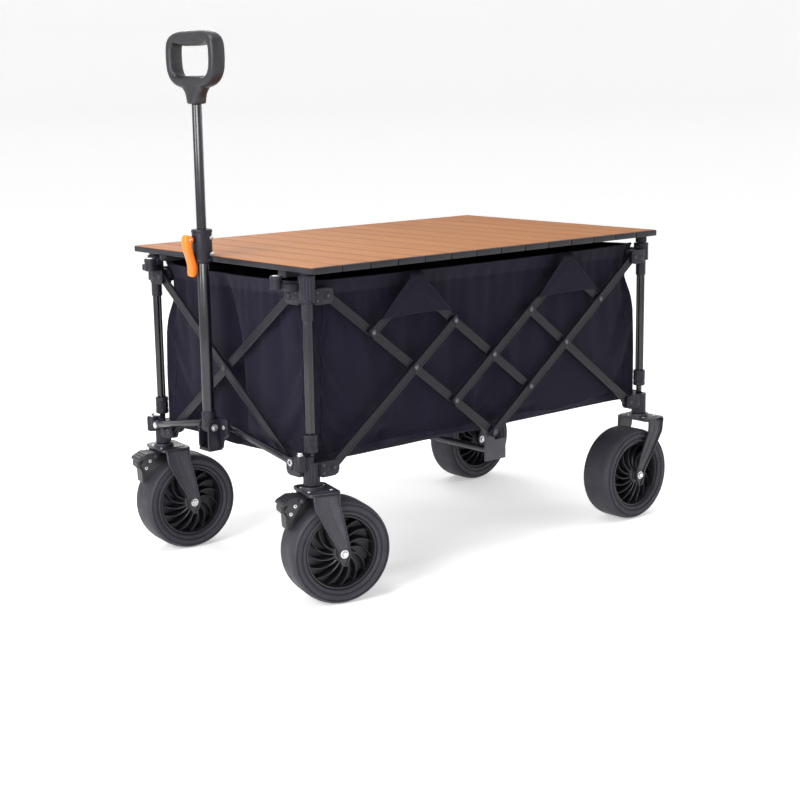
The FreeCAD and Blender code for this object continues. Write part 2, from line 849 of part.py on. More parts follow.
def make_floor_link(side_name):
    """Half of the cross link under the floor; the two halves lap at the middle."""
    side = SIDES[side_name]
    round_part = span(side, s["lap_plate"], s["link_pivot_y"] - 5)
    flat_part = span(side, 0.0, s["lap_plate"] + 8)
    front = s["link_x"] + s["lap_half"]
    rear = front + s["lap_thick"]
    if side > 0:
        front = s["link_x"] - s["lap_half"] - s["lap_thick"]
        rear = s["link_x"] - s["lap_half"]
    height = s["link_radius"] + 1
    pieces = [
        rod_between(
            f"link_tube_{side_name}", Y_AXIS, (s["link_x"], s["link_z"]), *round_part, s["link_radius"]
        ),
        rod_between(
            f"link_eye_{side_name}",
            X_AXIS,
            (side * s["link_pivot_y"], s["link_z"]),
            s["link_x"] - s["link_eye_half"],
            s["link_x"] + s["link_eye_half"],
            s["link_radius"] + 1,
        ),
        box(
            f"link_lap_{side_name}",
            (front, flat_part[0], s["link_z"] - height),
            (rear, flat_part[1], s["link_z"] + height),
        ),
        rod_between(
            f"link_end_{side_name}", X_AXIS, (0.0, s["link_z"]), front, rear, height
        ),
    ]
    link = without(
        f"link_drilled_{side_name}",
        joined(f"link_solid_{side_name}", pieces),
        rod_between(
            f"link_hole_{side_name}",
            X_AXIS,
            (side * s["link_pivot_y"], s["link_z"]),
            s["link_x"] - s["link_radius"] - 1,
            s["link_x"] + s["link_radius"] + 1,
            hole_radius,
        ),
    )
    finish(f"floor_link_{side_name}", link)


# ---------------------------------------------------------------- pull linkage and handle


def make_pull_arm(side_name):
    """A round arm from a lower front corner up to the handle bracket."""
    side = SIDES[side_name]
    run = s["arm_low_y"] - s["arm_high_y"]
    rise = s["arm_high_z"] - s["arm_low_z"]
    length = root_of_squares(run, rise)
    tilt = slope_of(rise, run)
    eye_low = s["arm_x"] - s["arm_eye_half"]
    eye_high = s["arm_x"] + s["arm_eye_half"]
    inward = -side * length
    tube_low, tube_high = span(-side, 0.0, length)
    pieces = [
        rod_between(
            f"arm_tube_{side_name}", Y_AXIS, (s["arm_x"], 0.0), tube_low, tube_high, s["arm_radius"]
        ),
        rod_between(f"arm_low_eye_{side_name}", X_AXIS, (0.0, 0.0), eye_low, eye_high, s["arm_eye"]),
        rod_between(
            f"arm_high_eye_{side_name}", X_AXIS, (inward, 0.0), eye_low, eye_high, s["arm_eye"]
        ),
    ]
    drills = [
        rod_between(
            f"arm_low_hole_{side_name}", X_AXIS, (0.0, 0.0), eye_low - 1, eye_high + 1, hole_radius
        )
    ]
    if side_name == "left":
        drills.append(
            rod_between(
                "arm_high_hole", X_AXIS, (inward, 0.0), eye_low - 1, eye_high + 1, hole_radius
            )
        )
    else:
        stub_low = s["block_rear"] + 0.5
        pieces.append(
            rod_between("arm_stud", X_AXIS, (inward, 0.0), stub_low, eye_low, s["pin_radius"])
        )
    arm = without(
        f"arm_{side_name}",
        joined(f"arm_solid_{side_name}", pieces),
        joined(f"arm_drills_{side_name}", drills),
    )
    axis = X_AXIS if side < 0 else -X_AXIS
    finish(f"pull_arm_{side_name}", arm, 0.0, side * s["arm_low_y"], s["arm_low_z"], axis, tilt)


def make_handle_bracket():
    """The block that joins the pull arms, with a fork for the handle's foot."""
    high = s["block_high"]
    pieces = [
        box(
            "bracket_block",
            (s["block_front"], -s["block_half"], s["block_low"]),
            (s["block_rear"], s["block_half"], high),
        ),
        box(
            "bracket_back",
            (s["block_front"], -s["clevis_outer"], s["clevis_low"]),
            (s["block_rear"], s["clevis_outer"], high),
        ),
        box(
            "bracket_foot",
            (s["clevis_front"], -s["clevis_outer"], s["clevis_low"]),
            (s["block_rear"], s["clevis_outer"], s["clevis_low"] + 6),
        ),
        rod_between(
            "handle_bolt",
            Y_AXIS,
            (s["handle_x"], s["handle_pivot_z"]),
            -s["clevis_outer"] - 3,
            s["clevis_outer"] + 3,
            s["handle_bolt"],
        ),
        rod_between(
            "bracket_arm_pin",
            X_AXIS,
            (-s["arm_high_y"], s["arm_high_z"]),
            s["block_rear"],
            s["arm_x"] + s["arm_eye_half"],
            s["pin_radius"],
        ),
    ]
    for name, side in SIDES.items():
        cheek = span(side, s["clevis_inner"], s["clevis_outer"])
        pieces.append(
            box(
                f"bracket_cheek_{name}",
                (s["clevis_front"], cheek[0], s["clevis_low"]),
                (s["block_rear"], cheek[1], high),
            )
        )
    finish("handle_bracket", joined("bracket_solid", pieces))


def make_handle_tubes():
    """The handle's outer tube with its clamp, and the inner tube that slides in it."""
    x = s["handle_x"]
    pivot_z = s["handle_pivot_z"]
    outer_radius = s["handle_radius"]
    foot_half = s["foot_half"]
    foot = rod_between("handle_foot", Y_AXIS, (x, pivot_z), -foot_half, foot_half, s["foot_radius"])
    shaft = rod_between("handle_shaft", Z_AXIS, (x, 0.0), pivot_z, s["lower_tube_top"], outer_radius)
    clamp = rod_between(
        "handle_clamp", Z_AXIS, (x, 0.0), s["clamp_low"], s["clamp_top"], s["clamp_radius"]
    )
    lever_lug = box(
        "lever_lug",
        (s["lever_x"] - 4, -4.0, s["lever_z"] - 6),
        (x, 4.0, s["lever_z"] + 6),
    )
    lever_pin = rod_between(
        "lever_pin",
        Y_AXIS,
        (s["lever_x"], s["lever_z"]),
        -s["lever_half"] - 1,
        s["lever_half"] + 1,
        s["lever_pin"],
    )
    bolt_hole = rod_between(
        "handle_bolt_hole",
        Y_AXIS,
        (x, pivot_z),
        -foot_half - 1,
        foot_half + 1,
        s["handle_bolt"] + s["running_gap"],
    )
    slide_bore = rod_between(
        "handle_bore",
        Z_AXIS,
        (x, 0.0),
        s["bore_low"],
        s["clamp_top"] + 1,
        s["inner_tube_radius"] + s["running_gap"],
    )
    outer = without(
        "handle_outer",
        joined("handle_outer_solid", [foot, shaft, clamp, lever_lug, lever_pin]),
        joined("handle_hollow", [bolt_hole, slide_bore]),
    )
    finish("handle_outer_tube", outer)

    inner = without(
        "handle_inner",
        rod_between(
            "inner_shaft",
            Z_AXIS,
            (x, 0.0),
            s["inner_tube_low"],
            s["inner_tube_top"],
            s["inner_tube_radius"],
        ),
        rod_between(
            "inner_bore",
            Z_AXIS,
            (x, 0.0),
            s["inner_tube_low"] - 1,
            s["inner_tube_top"] + 1,
            s["inner_tube_radius"] - s["inner_tube_wall"],
        ),
    )
    finish("handle_inner_tube", inner)


def make_lever():
    """The cam lever of the handle's clamp, an S that hangs down in front."""
    x, z = s["lever_x"], s["lever_z"]
    outline = [
        (x + 5, z + 9),
        (x - 7, z + 9),
        (x - 12, z),
        (x - 10, z - 22),
        (x - 2, z - 44),
        (x - 6, z - 62),
        (x - 2, z - 72),
        (x + 7, z - 70),
        (x + 9, z - 44),
        (x + 1, z - 22),
        (x + 5, z - 6),
    ]
    blade = outline_plate("lever_blade", "XZ", outline, 2 * s["lever_half"])
    place(blade, 0.0, s["lever_half"], 0.0)
    slot = box("lever_slot", (x - 8.5, -4.4, z - 9), (x + 8, 4.4, z + 12))
    hole = rod_between(
        "lever_hole",
        Y_AXIS,
        (x, z),
        -s["lever_half"] - 2,
        s["lever_half"] + 2,
        s["lever_pin"] + s["running_gap"],
    )
    lever = without("lever_cut", blade, joined("lever_hollow", [slot, hole]))
    finish("clamp_lever", lever)


def make_grip():
    """The D-shaped grip: a ring of straight limbs on a short neck."""
    half, limb = s["grip_half"], s["grip_limb"]
    top, neck = s["grip_top"], s["grip_neck"]
    ring_low = neck + 20
    outside = [
        (-half + 16, top),
        (-half, top - 16),
        (-half + 8, ring_low + 34),
        (-26.0, ring_low),
        (-17.0, neck),
        (17.0, neck),
        (26.0, ring_low),
        (half - 8, ring_low + 34),
        (half, top - 16),
        (half - 16, top),
    ]
    inside = [
        (-half + limb + 6, top - limb),
        (-half + limb, top - limb - 8),
        (-half + limb + 8, ring_low + 32),
        (-half + limb + 18, ring_low + 24),
        (half - limb - 18, ring_low + 24),
        (half - limb - 8, ring_low + 32),
        (half - limb, top - limb - 8),
        (half - limb - 6, top - limb),
    ]
    depth = s["grip_depth"]
    shell = outline_plate("grip_outside", "YZ", outside, depth)
    place(shell, s["handle_x"] - depth / 2, 0.0, 0.0)
    window = outline_plate("grip_window", "YZ", inside, depth + 4)
    place(window, s["handle_x"] - depth / 2 - 2, 0.0, 0.0)
    socket = rod_between(
        "grip_socket",
        Z_AXIS,
        (s["handle_x"], 0.0),
        neck - 1,
        s["inner_tube_top"],
        s["inner_tube_radius"] + s["running_gap"],
    )
    ring = without("grip_ring", shell, window)
    finish("handle_grip", without("grip", ring, socket))


# ---------------------------------------------------------------- table and bag


def make_table():
    """The lift-off table: slats across the wagon, two rails along it and four feet."""
    pitch = s["table_length"] / SLAT_COUNT
    slats = []
    for k in range(SLAT_COUNT):
        front = s["table_front"] + k * pitch
        low = (front, -s["table_half"], s["slat_low"])
        high = (front + pitch - s["slat_gap"], s["table_half"], s["slat_top"])
        slats.append(box(f"slat_{k + 1}", low, high))
    finish("table_slats", together("slat_set", slats))
    rails = []
    for name, side in SIDES.items():
        y = span(side, s["rail_y"] - s["rail_half"], s["rail_y"] + s["rail_half"])
        low = (s["rail_front"], y[0], s["rail_low"])
        high = (s["rail_rear"], y[1], s["slat_low"])
        rails.append(box(f"rail_{name}", low, high))
        for end_name, end in ENDS.items():
            corner = (end * s["post_x"], side * s["post_y"])
            foot_name = f"table_foot_{end_name}_{name}"
            foot_ends = (s["foot_low"], s["slat_low"])
            rails.append(
                rod_between(foot_name, Z_AXIS, corner, *foot_ends, s["table_foot_radius"])
            )
    finish("table_rails", together("rail_set", rails))


def bag_outline(inset):
    """A rectangle with cut corners, which pass inside the corner posts."""
    half_x = s["bag_half_x"] - inset
    half_y = s["bag_half_y"] - inset
    corner = s["bag_corner"]
    return [
        (-half_x, -half_y + corner),
        (-half_x + corner, -half_y),
        (half_x - corner, -half_y),
        (half_x, -half_y + corner),
        (half_x, half_y - corner),
        (half_x - corner, half_y),
        (-half_x + corner, half_y),
        (-half_x, half_y - corner),
    ]


def make_bag():
    """The cargo bag, open at the top, with two flaps over the lattice on each long side."""
    depth = s["bag_top"] - s["bag_low"]
    wall = outline_plate("bag_outside", "XY", bag_outline(0.0), depth)
    place(wall, 0.0, 0.0, s["bag_low"])
    room = outline_plate("bag_room", "XY", bag_outline(s["bag_wall"]), depth)
    place(room, 0.0, 0.0, s["bag_low"] + s["bag_floor"])
    pieces = [without("bag_basket", wall, room)]
    for name, side in SIDES.items():
        outer = s["flap_y"] + s["flap_thick"]
        bridge = span(side, s["bag_half_y"] - s["bag_wall"], outer)
        bridge_low = s["bag_top"] - s["flap_thick"]
        for end_name, end in ENDS.items():
            middle = end * s["flap_middle"]
            head = (middle - s["flap_head_half"], middle + s["flap_head_half"])
            outline = [
                (middle - s["flap_foot_half"], s["flap_low"]),
                (middle + s["flap_foot_half"], s["flap_low"]),
                (head[1], s["bag_top"]),
                (head[0], s["bag_top"]),
            ]
            flap = outline_plate(f"flap_{end_name}_{name}", "XZ", outline, s["flap_thick"])
            place(flap, 0.0, outer if side > 0 else -s["flap_y"], 0.0)
            pieces.append(flap)
            pieces.append(
                box(
                    f"flap_bridge_{end_name}_{name}",
                    (head[0], bridge[0], bridge_low),
                    (head[1], bridge[1], s["bag_top"]),
                )
            )
    finish("bag", joined("bag_solid", pieces))


# ---------------------------------------------------------------- the whole wagon


def make_wagon():
    """Every sub-part of the wagon."""
    for side_name in SIDES:
        make_side_bars(side_name)
        make_floor_hub(side_name)
        make_floor_link(side_name)
        make_pull_arm(side_name)
    for end_name in ENDS:
        make_end_bars(end_name)
        for side_name in SIDES:
            make_upper_corner(end_name, side_name)
            make_lower_corner(end_name, side_name)
            make_caster(end_name, side_name)
    make_handle_bracket()
    make_handle_tubes()
    make_lever()
    make_grip()
    make_table()
    make_bag()


def check_document():
    """Stops with a message if any object failed or any sub-part has a bad shape."""
    for thing in document.Objects:
        if "Invalid" in thing.State or "Error" in thing.State:
            raise RuntimeError(f"{thing.Name} ({thing.Label}) failed: {thing.State}")
    for thing in finished:
        if thing.Shape.isNull() or not thing.Shape.isValid():
            raise RuntimeError(f"{thing.Label} has a bad shape")
        if not thing.Shape.Solids:
            raise RuntimeError(f"{thing.Label} has no solid")


def write_parts():
    """Writes each sub-part's shape to its own STEP file."""
    os.makedirs("parts", exist_ok=True)
    for thing in finished:
        thing.Shape.exportStep(f"parts/{thing.Label}.step")
    print(f"{len(finished)} sub-parts written")


make_wagon()
document.recompute()
check_document()
write_parts()
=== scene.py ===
import math

import bmesh
import bpy
import numpy as np
from mathutils import Matrix, Vector, noise


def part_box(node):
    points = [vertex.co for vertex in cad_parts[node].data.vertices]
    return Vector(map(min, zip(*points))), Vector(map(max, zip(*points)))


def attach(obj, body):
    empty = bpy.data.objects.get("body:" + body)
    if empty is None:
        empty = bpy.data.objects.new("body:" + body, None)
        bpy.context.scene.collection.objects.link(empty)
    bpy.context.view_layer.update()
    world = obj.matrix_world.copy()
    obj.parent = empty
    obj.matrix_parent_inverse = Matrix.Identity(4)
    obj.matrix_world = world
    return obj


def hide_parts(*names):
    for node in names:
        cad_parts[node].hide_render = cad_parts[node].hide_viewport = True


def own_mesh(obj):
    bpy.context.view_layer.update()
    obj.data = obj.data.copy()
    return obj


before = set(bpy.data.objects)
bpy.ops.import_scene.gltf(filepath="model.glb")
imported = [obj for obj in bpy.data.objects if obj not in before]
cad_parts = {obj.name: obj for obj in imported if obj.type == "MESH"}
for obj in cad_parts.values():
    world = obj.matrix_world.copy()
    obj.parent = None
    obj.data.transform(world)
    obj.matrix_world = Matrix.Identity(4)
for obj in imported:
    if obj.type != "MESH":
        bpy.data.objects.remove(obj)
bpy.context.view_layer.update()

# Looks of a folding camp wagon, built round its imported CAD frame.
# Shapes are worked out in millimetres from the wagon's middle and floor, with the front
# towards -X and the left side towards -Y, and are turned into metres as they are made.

MM = 0.001
FULL_TURN = 2 * math.pi
UP = (0, 0, 1)
ORIGIN = (0, 0, 0)
SIDES = {"left": -1, "right": 1}
ENDS = {"front": -1, "rear": 1}
CORNERS = [(end, side) for end in ENDS for side in SIDES]


# ------------------------------------------------------------ places read from the frame


def middle_of_posts():
    """The point on the floor midway between the four corner posts, in metres."""
    total = Vector(ORIGIN)
    for end, side in CORNERS:
        low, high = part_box(f"post_tube_{end}_{side}")
        total += (low + high) / 2
    return Vector((total.x / len(CORNERS), total.y / len(CORNERS), 0))


MIDDLE = middle_of_posts()


def box_mm(node):
    """A CAD node's lowest and highest corners, in millimetres from the middle."""
    low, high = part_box(node)
    return (low - MIDDLE) / MM, (high - MIDDLE) / MM


def centre_mm(node):
    low, high = box_mm(node)
    return (low + high) / 2


POST_LOW, POST_HIGH = box_mm("post_tube_rear_right")
POST_X, POST_Y, _ = centre_mm("post_tube_rear_right")
TYRE_LOW, TYRE_HIGH = box_mm("tyre_rear_left")
TYRE_HALF = (TYRE_HIGH.y - TYRE_LOW.y) / 2
WHEEL_RADIUS = centre_mm("tyre_rear_left").z
TRAIL = POST_X - centre_mm("tyre_rear_left").x
BAR_HALF = 9.0
BAR_THICK = 6.0
LAYERS = {"inner": 2.0, "outer": 8.5}
PIVOT_LOW = box_mm("front_bar_1")[0].z + BAR_HALF
PIVOT_HIGH = box_mm("front_bar_2")[1].z - BAR_HALF
EAR_REACH = POST_X - (box_mm("side_bar_left_6")[1].x - BAR_HALF)
BAG_LOW, BAG_HIGH = box_mm("bag")
SLATS_LOW, SLATS_HIGH = box_mm("table_slats")
HANDLE_X = centre_mm("handle_inner_tube").x


def corner_post(end, side):
    """The foot of a corner post's own axes."""
    return Matrix.Translation((ENDS[end] * POST_X, SIDES[side] * POST_Y, 0))


# ------------------------------------------------------------ finishes


class Finish:
    """A procedural material: a principled shader whose sockets can be fed by noise."""

    def __init__(self, name, roughness, metallic=0.0, **sockets):
        self.material = bpy.data.materials.new(name)
        self.material.use_nodes = True
        self.tree = self.material.node_tree
        self.shader = self.tree.nodes["Principled BSDF"].inputs
        self.shader["Roughness"].default_value = roughness
        self.shader["Metallic"].default_value = metallic
        for socket, value in sockets.items():
            self.shader[socket.replace("_", " ")].default_value = value
        places = self.tree.nodes.new("ShaderNodeTexCoord").outputs
        self.place, self.cloth_place = places["Object"], places["UV"]

    def feed(self, socket, value):
        """Links an output to a socket, or sets the socket's own value."""
        if isinstance(value, bpy.types.NodeSocket):
            self.tree.links.new(value, socket)
        elif socket.type == "RGBA":
            socket.default_value = (*value, 1.0)
        else:
            socket.default_value = value

    def node(self, kind, result, **inputs):
        """Adds a shader node, feeds its named inputs and gives one of its outputs."""
        made = self.tree.nodes.new("ShaderNode" + kind)
        for name, value in inputs.items():
            self.feed(made.inputs[name.replace("_", " ")], value)
        return made.outputs[result]

    def axes(self, place):
        """The X, Y and Z outputs of a place."""
        made = self.tree.nodes.new("ShaderNodeSeparateXYZ")
        self.feed(made.inputs["Vector"], place)
        return made.outputs

    def stretched(self, scale, place):
        return self.node("Mapping", "Vector", Vector=place, Scale=scale)

    def noise(self, scale, detail=3.0, place=None):
        place = place or self.place
        return self.node("TexNoise", "Fac", Vector=place, Scale=scale, Detail=detail, Roughness=0.55)

    def spread(self, value, low, high, start=0.3, end=0.7):
        """Maps a value onto a range. Noise lies mostly between 0.3 and 0.7."""
        return self.node(
            "MapRange", "Result", Value=value, From_Min=start, From_Max=end, To_Min=low, To_Max=high
        )

    def maths(self, operation, first, second=0.0):
        made = self.tree.nodes.new("ShaderNodeMath")
        made.operation = operation
        self.feed(made.inputs[0], first)
        self.feed(made.inputs[1], second)
        return made.outputs["Value"]

    def mixed(self, factor, first, second):
        """A colour between two colours, each a triple or an output."""
        made = self.tree.nodes.new("ShaderNodeMix")
        made.data_type = "RGBA"
        factor_socket, first_colour, second_colour = (made.inputs[k] for k in (0, 6, 7))
        self.feed(factor_socket, factor)
        self.feed(first_colour, first)
        self.feed(second_colour, second)
        return made.outputs[2]

    def patchy(self, size, detail, colour, dark, light):
        """A colour that drifts between a darker and a lighter tone of itself."""
        patches = self.spread(self.noise(size, detail), 0.0, 1.0)
        return self.mixed(patches, scaled(colour, dark), scaled(colour, light))

    def worn_edges(self):
        """From 0 on faces to 1 along raised edges."""
        return self.spread(self.node("NewGeometry", "Pointiness"), 0.0, 1.0, 0.53, 0.62)

    def done(self, colour, roughness, *bumps):
        """Feeds the shader. Each bump is a (height output, depth in metres) pair."""
        self.feed(self.shader["Base Color"], colour)
        self.feed(self.shader["Roughness"], roughness)
        normal = None
        for height, depth in bumps:
            layer = {"Distance": depth, "Strength": 1.0, "Height": height}
            if normal:
                layer["Normal"] = normal
            normal = self.node("Bump", "Normal", **layer)
        self.feed(self.shader["Normal"], normal)
        return self.material


def scaled(colour, factor):
    return tuple(channel * factor for channel in colour)


def painted(name, colour, roughness, depth=0.00004, **sockets):
    """Powder-coated or lacquered metal: fine orange peel, uneven gloss, rubbed edges."""
    finish = Finish(name, roughness, **sockets)
    body = finish.patchy(7.0, 3.0, colour, 0.82, 1.2)
    rubbed = finish.maths("MULTIPLY", finish.worn_edges(), finish.spread(finish.noise(60.0), 0.2, 0.9))
    return finish.done(
        finish.mixed(rubbed, body, scaled(colour, 2.4)),
        finish.spread(finish.noise(25.0, 5.0), roughness * 0.8, roughness * 1.3),
        (finish.noise(1400.0, 2.0), depth), (finish.noise(160.0, 2.0), depth),
    )


def moulded(name, colour, roughness, depth=0.00008, grain=1800.0, **sockets):
    """Moulded plastic or rubber: a stippled skin, with dust lying in it unevenly."""
    finish = Finish(name, roughness, **sockets)
    body = finish.patchy(11.0, 4.0, colour, 0.8, 1.22)
    stipple = finish.node("TexVoronoi", "Distance", Vector=finish.place, Scale=grain)
    return finish.done(
        finish.mixed(finish.worn_edges(), body, scaled(colour, 1.7)),
        finish.spread(finish.noise(40.0, 5.0), roughness * 0.85, roughness * 1.2),
        (stipple, depth), (finish.noise(90.0, 3.0), depth * 1.5),
    )


def plated(name, colour, roughness):
    """Zinc-plated steel with faint turning marks and dulled patches."""
    finish = Finish(name, roughness, 1.0)
    return finish.done(
        finish.patchy(180.0, 4.0, colour, 0.75, 1.0),
        finish.spread(finish.noise(400.0, 3.0), roughness * 0.7, roughness * 1.5),
        (finish.noise(2500.0, 2.0), 0.00003),
    )


def woven(name, colour, yarn=0.0011, **sockets):
    """Coated polyester cloth: a plain weave, slubs in the yarn, and soft creases."""
    finish = Finish(name, 0.72, **sockets)
    axes = finish.axes(finish.cloth_place)
    waves = [finish.maths("SINE", finish.maths("MULTIPLY", axes[a], FULL_TURN / yarn)) for a in "XY"]
    weave = finish.maths("MULTIPLY", *waves)
    slubs = finish.noise(1.0, 3.0, finish.stretched((90.0, 900.0, 1.0), finish.cloth_place))
    body = finish.patchy(5.0, 5.0, colour, 0.86, 1.16)
    yarns = finish.spread(weave, 0.0, 0.35, -1.0, 1.0)
    return finish.done(
        finish.mixed(yarns, body, scaled(colour, 1.9)), finish.spread(slubs, 0.6, 0.85),
        (weave, 0.00012), (slubs, 0.0001), (finish.noise(28.0, 5.0), 0.0007),
    )


def wood_print(name, light, dark, pitch):
    """Wood-grain film on the slats: fine streaks along each slat, each one shifted, with painted shade: a
    thin dark line at every slat pitch stands in for the shade in the seams.
    """
    finish = Finish(name, 0.6, Specular_IOR_Level=0.06)
    axes = finish.axes(finish.place)
    slats = finish.maths("DIVIDE", axes["X"], pitch)
    own = finish.tree.nodes.new("ShaderNodeTexWhiteNoise")
    own.noise_dimensions = "1D"
    finish.feed(own.inputs["W"], finish.maths("FLOOR", slats))
    moved = finish.maths("ADD", axes["Y"], own.outputs["Value"])
    shifted = finish.node("CombineXYZ", "Vector", X=axes["X"], Y=moved)
    streaks = finish.noise(1.0, 6.0, finish.stretched((420.0, 5.0, 1.0), shifted))
    rings = finish.noise(1.0, 2.0, finish.stretched((60.0, 2.2, 1.0), shifted))
    grain = finish.maths("ADD", finish.maths("MULTIPLY", streaks, 0.6), finish.maths("MULTIPLY", rings, 0.4))
    body = finish.mixed(finish.spread(grain, 0.0, 1.0, 0.38, 0.62), dark, light)
    tint = finish.spread(own.outputs["Value"], 0.0, 0.35, 0.0, 1.0)
    # Painted shade: the film turns nearly black in a thin line at every slat pitch, standing in for the shade
    # that falls in the seams.
    inside = finish.spread(finish.maths("PINGPONG", slats, 0.5), 0.0, 1.0, 0.012, 0.03)
    return finish.done(
        finish.mixed(inside, scaled(dark, 0.35), finish.mixed(tint, body, dark)),
        finish.spread(streaks, 0.5, 0.66), (streaks, 0.00006),
    )


SLAT_COUNT = 14
SLAT_GAP = 1.2
SLAT_PITCH = (SLATS_HIGH.x - SLATS_LOW.x + SLAT_GAP) / SLAT_COUNT

bar_paint = painted("bar_paint", (0.0045, 0.0041, 0.008), 0.36, Specular_IOR_Level=0.3)
tube_paint = painted(
    "tube_paint", (0.005, 0.0047, 0.0085), 0.22, 0.00001, Coat_Weight=0.1, Coat_Roughness=0.1
)
fork_paint = painted("fork_paint", (0.018, 0.017, 0.024), 0.36)
rail_paint = painted("rail_paint", (0.009, 0.0086, 0.012), 0.42, Specular_IOR_Level=0.35)
bracket_plastic = moulded("bracket_plastic", (0.0085, 0.0079, 0.0135), 0.42, Specular_IOR_Level=0.3)
pedal_plastic = moulded("pedal_plastic", (0.01, 0.01, 0.013), 0.42)
rim_plastic = moulded("rim_plastic", (0.009, 0.0088, 0.012), 0.34)
grip_plastic = moulded("grip_plastic", (0.009, 0.0087, 0.012), 0.44, 0.0001, 1300.0)
lever_plastic = moulded("lever_plastic", (0.82, 0.17, 0.011), 0.34, 0.00003)
tyre_rubber = moulded("tyre_rubber", (0.0155, 0.0148, 0.0235), 0.62, 0.00012, 900.0)
bolt_zinc = plated("bolt_zinc", (0.75, 0.75, 0.76), 0.25)
rivet_zinc = plated("rivet_zinc", (0.16, 0.16, 0.18), 0.36)
dark_steel = plated("dark_steel", (0.1, 0.1, 0.115), 0.4)
bag_cloth = woven(
    "bag_cloth", (0.0068, 0.006, 0.0142), Specular_IOR_Level=0.11, Sheen_Weight=0.025
)
hem_cloth = woven(
    "hem_cloth", (0.0095, 0.0086, 0.0175), 0.0016, Specular_IOR_Level=0.16, Sheen_Weight=0.035
)
slat_wood = wood_print("slat_wood", (0.41, 0.178, 0.069), (0.31, 0.125, 0.046), SLAT_PITCH * MM)


# ------------------------------------------------------------ building blocks


def rounded(outline, radius, steps=4):
    """An outline with its corners rounded by short arcs."""
    made = []
    for k, corner in enumerate(outline):
        point = Vector(corner)
        before = Vector(outline[k - 1]) - point
        after = Vector(outline[(k + 1) % len(outline)]) - point
        cut = min(radius, before.length * 0.45, after.length * 0.45)
        start = point + before.normalized() * cut
        end = point + after.normalized() * cut
        for step in range(steps + 1):
            share = step / steps
            made.append(tuple((start.lerp(point, share)).lerp(point.lerp(end, share), share)))
    return made


def oblong(x_low, x_high, z_low, z_high, radius, steps=3):
    """A rounded oblong outline."""
    corners = [(x_low, z_low), (x_high, z_low), (x_high, z_high), (x_low, z_high)]
    return rounded(corners, radius, steps)


def circle(steps, power=1.0):
    """Evenly turned (cosine, sine) pairs. A power under 1 makes the circle squarer."""
    angles = [FULL_TURN * k / steps for k in range(steps)]
    return [(swollen(math.cos(a), power), swollen(math.sin(a), power)) for a in angles]


def swollen(value, power):
    return math.copysign(abs(value) ** power, value)


def round_axis(axis, steps):
    """Directions square to an axis, evenly turned about it."""
    first = axis.orthogonal().normalized()
    second = axis.cross(first).normalized()
    return [first * c + second * s for c, s in circle(steps)]


def soften(part, edges, soft, steps):
    """Rounds edges of a part over by a given radius."""
    if soft > 0:
        bmesh.ops.bevel(
            part, geom=edges, offset=soft, segments=steps, profile=0.5,
            affect="EDGES", clamp_overlap=True,
        )


def shown(name, data):
    """A new object in the scene."""
    made = bpy.data.objects.new(name, data)
    bpy.context.scene.collection.objects.link(made)
    return made


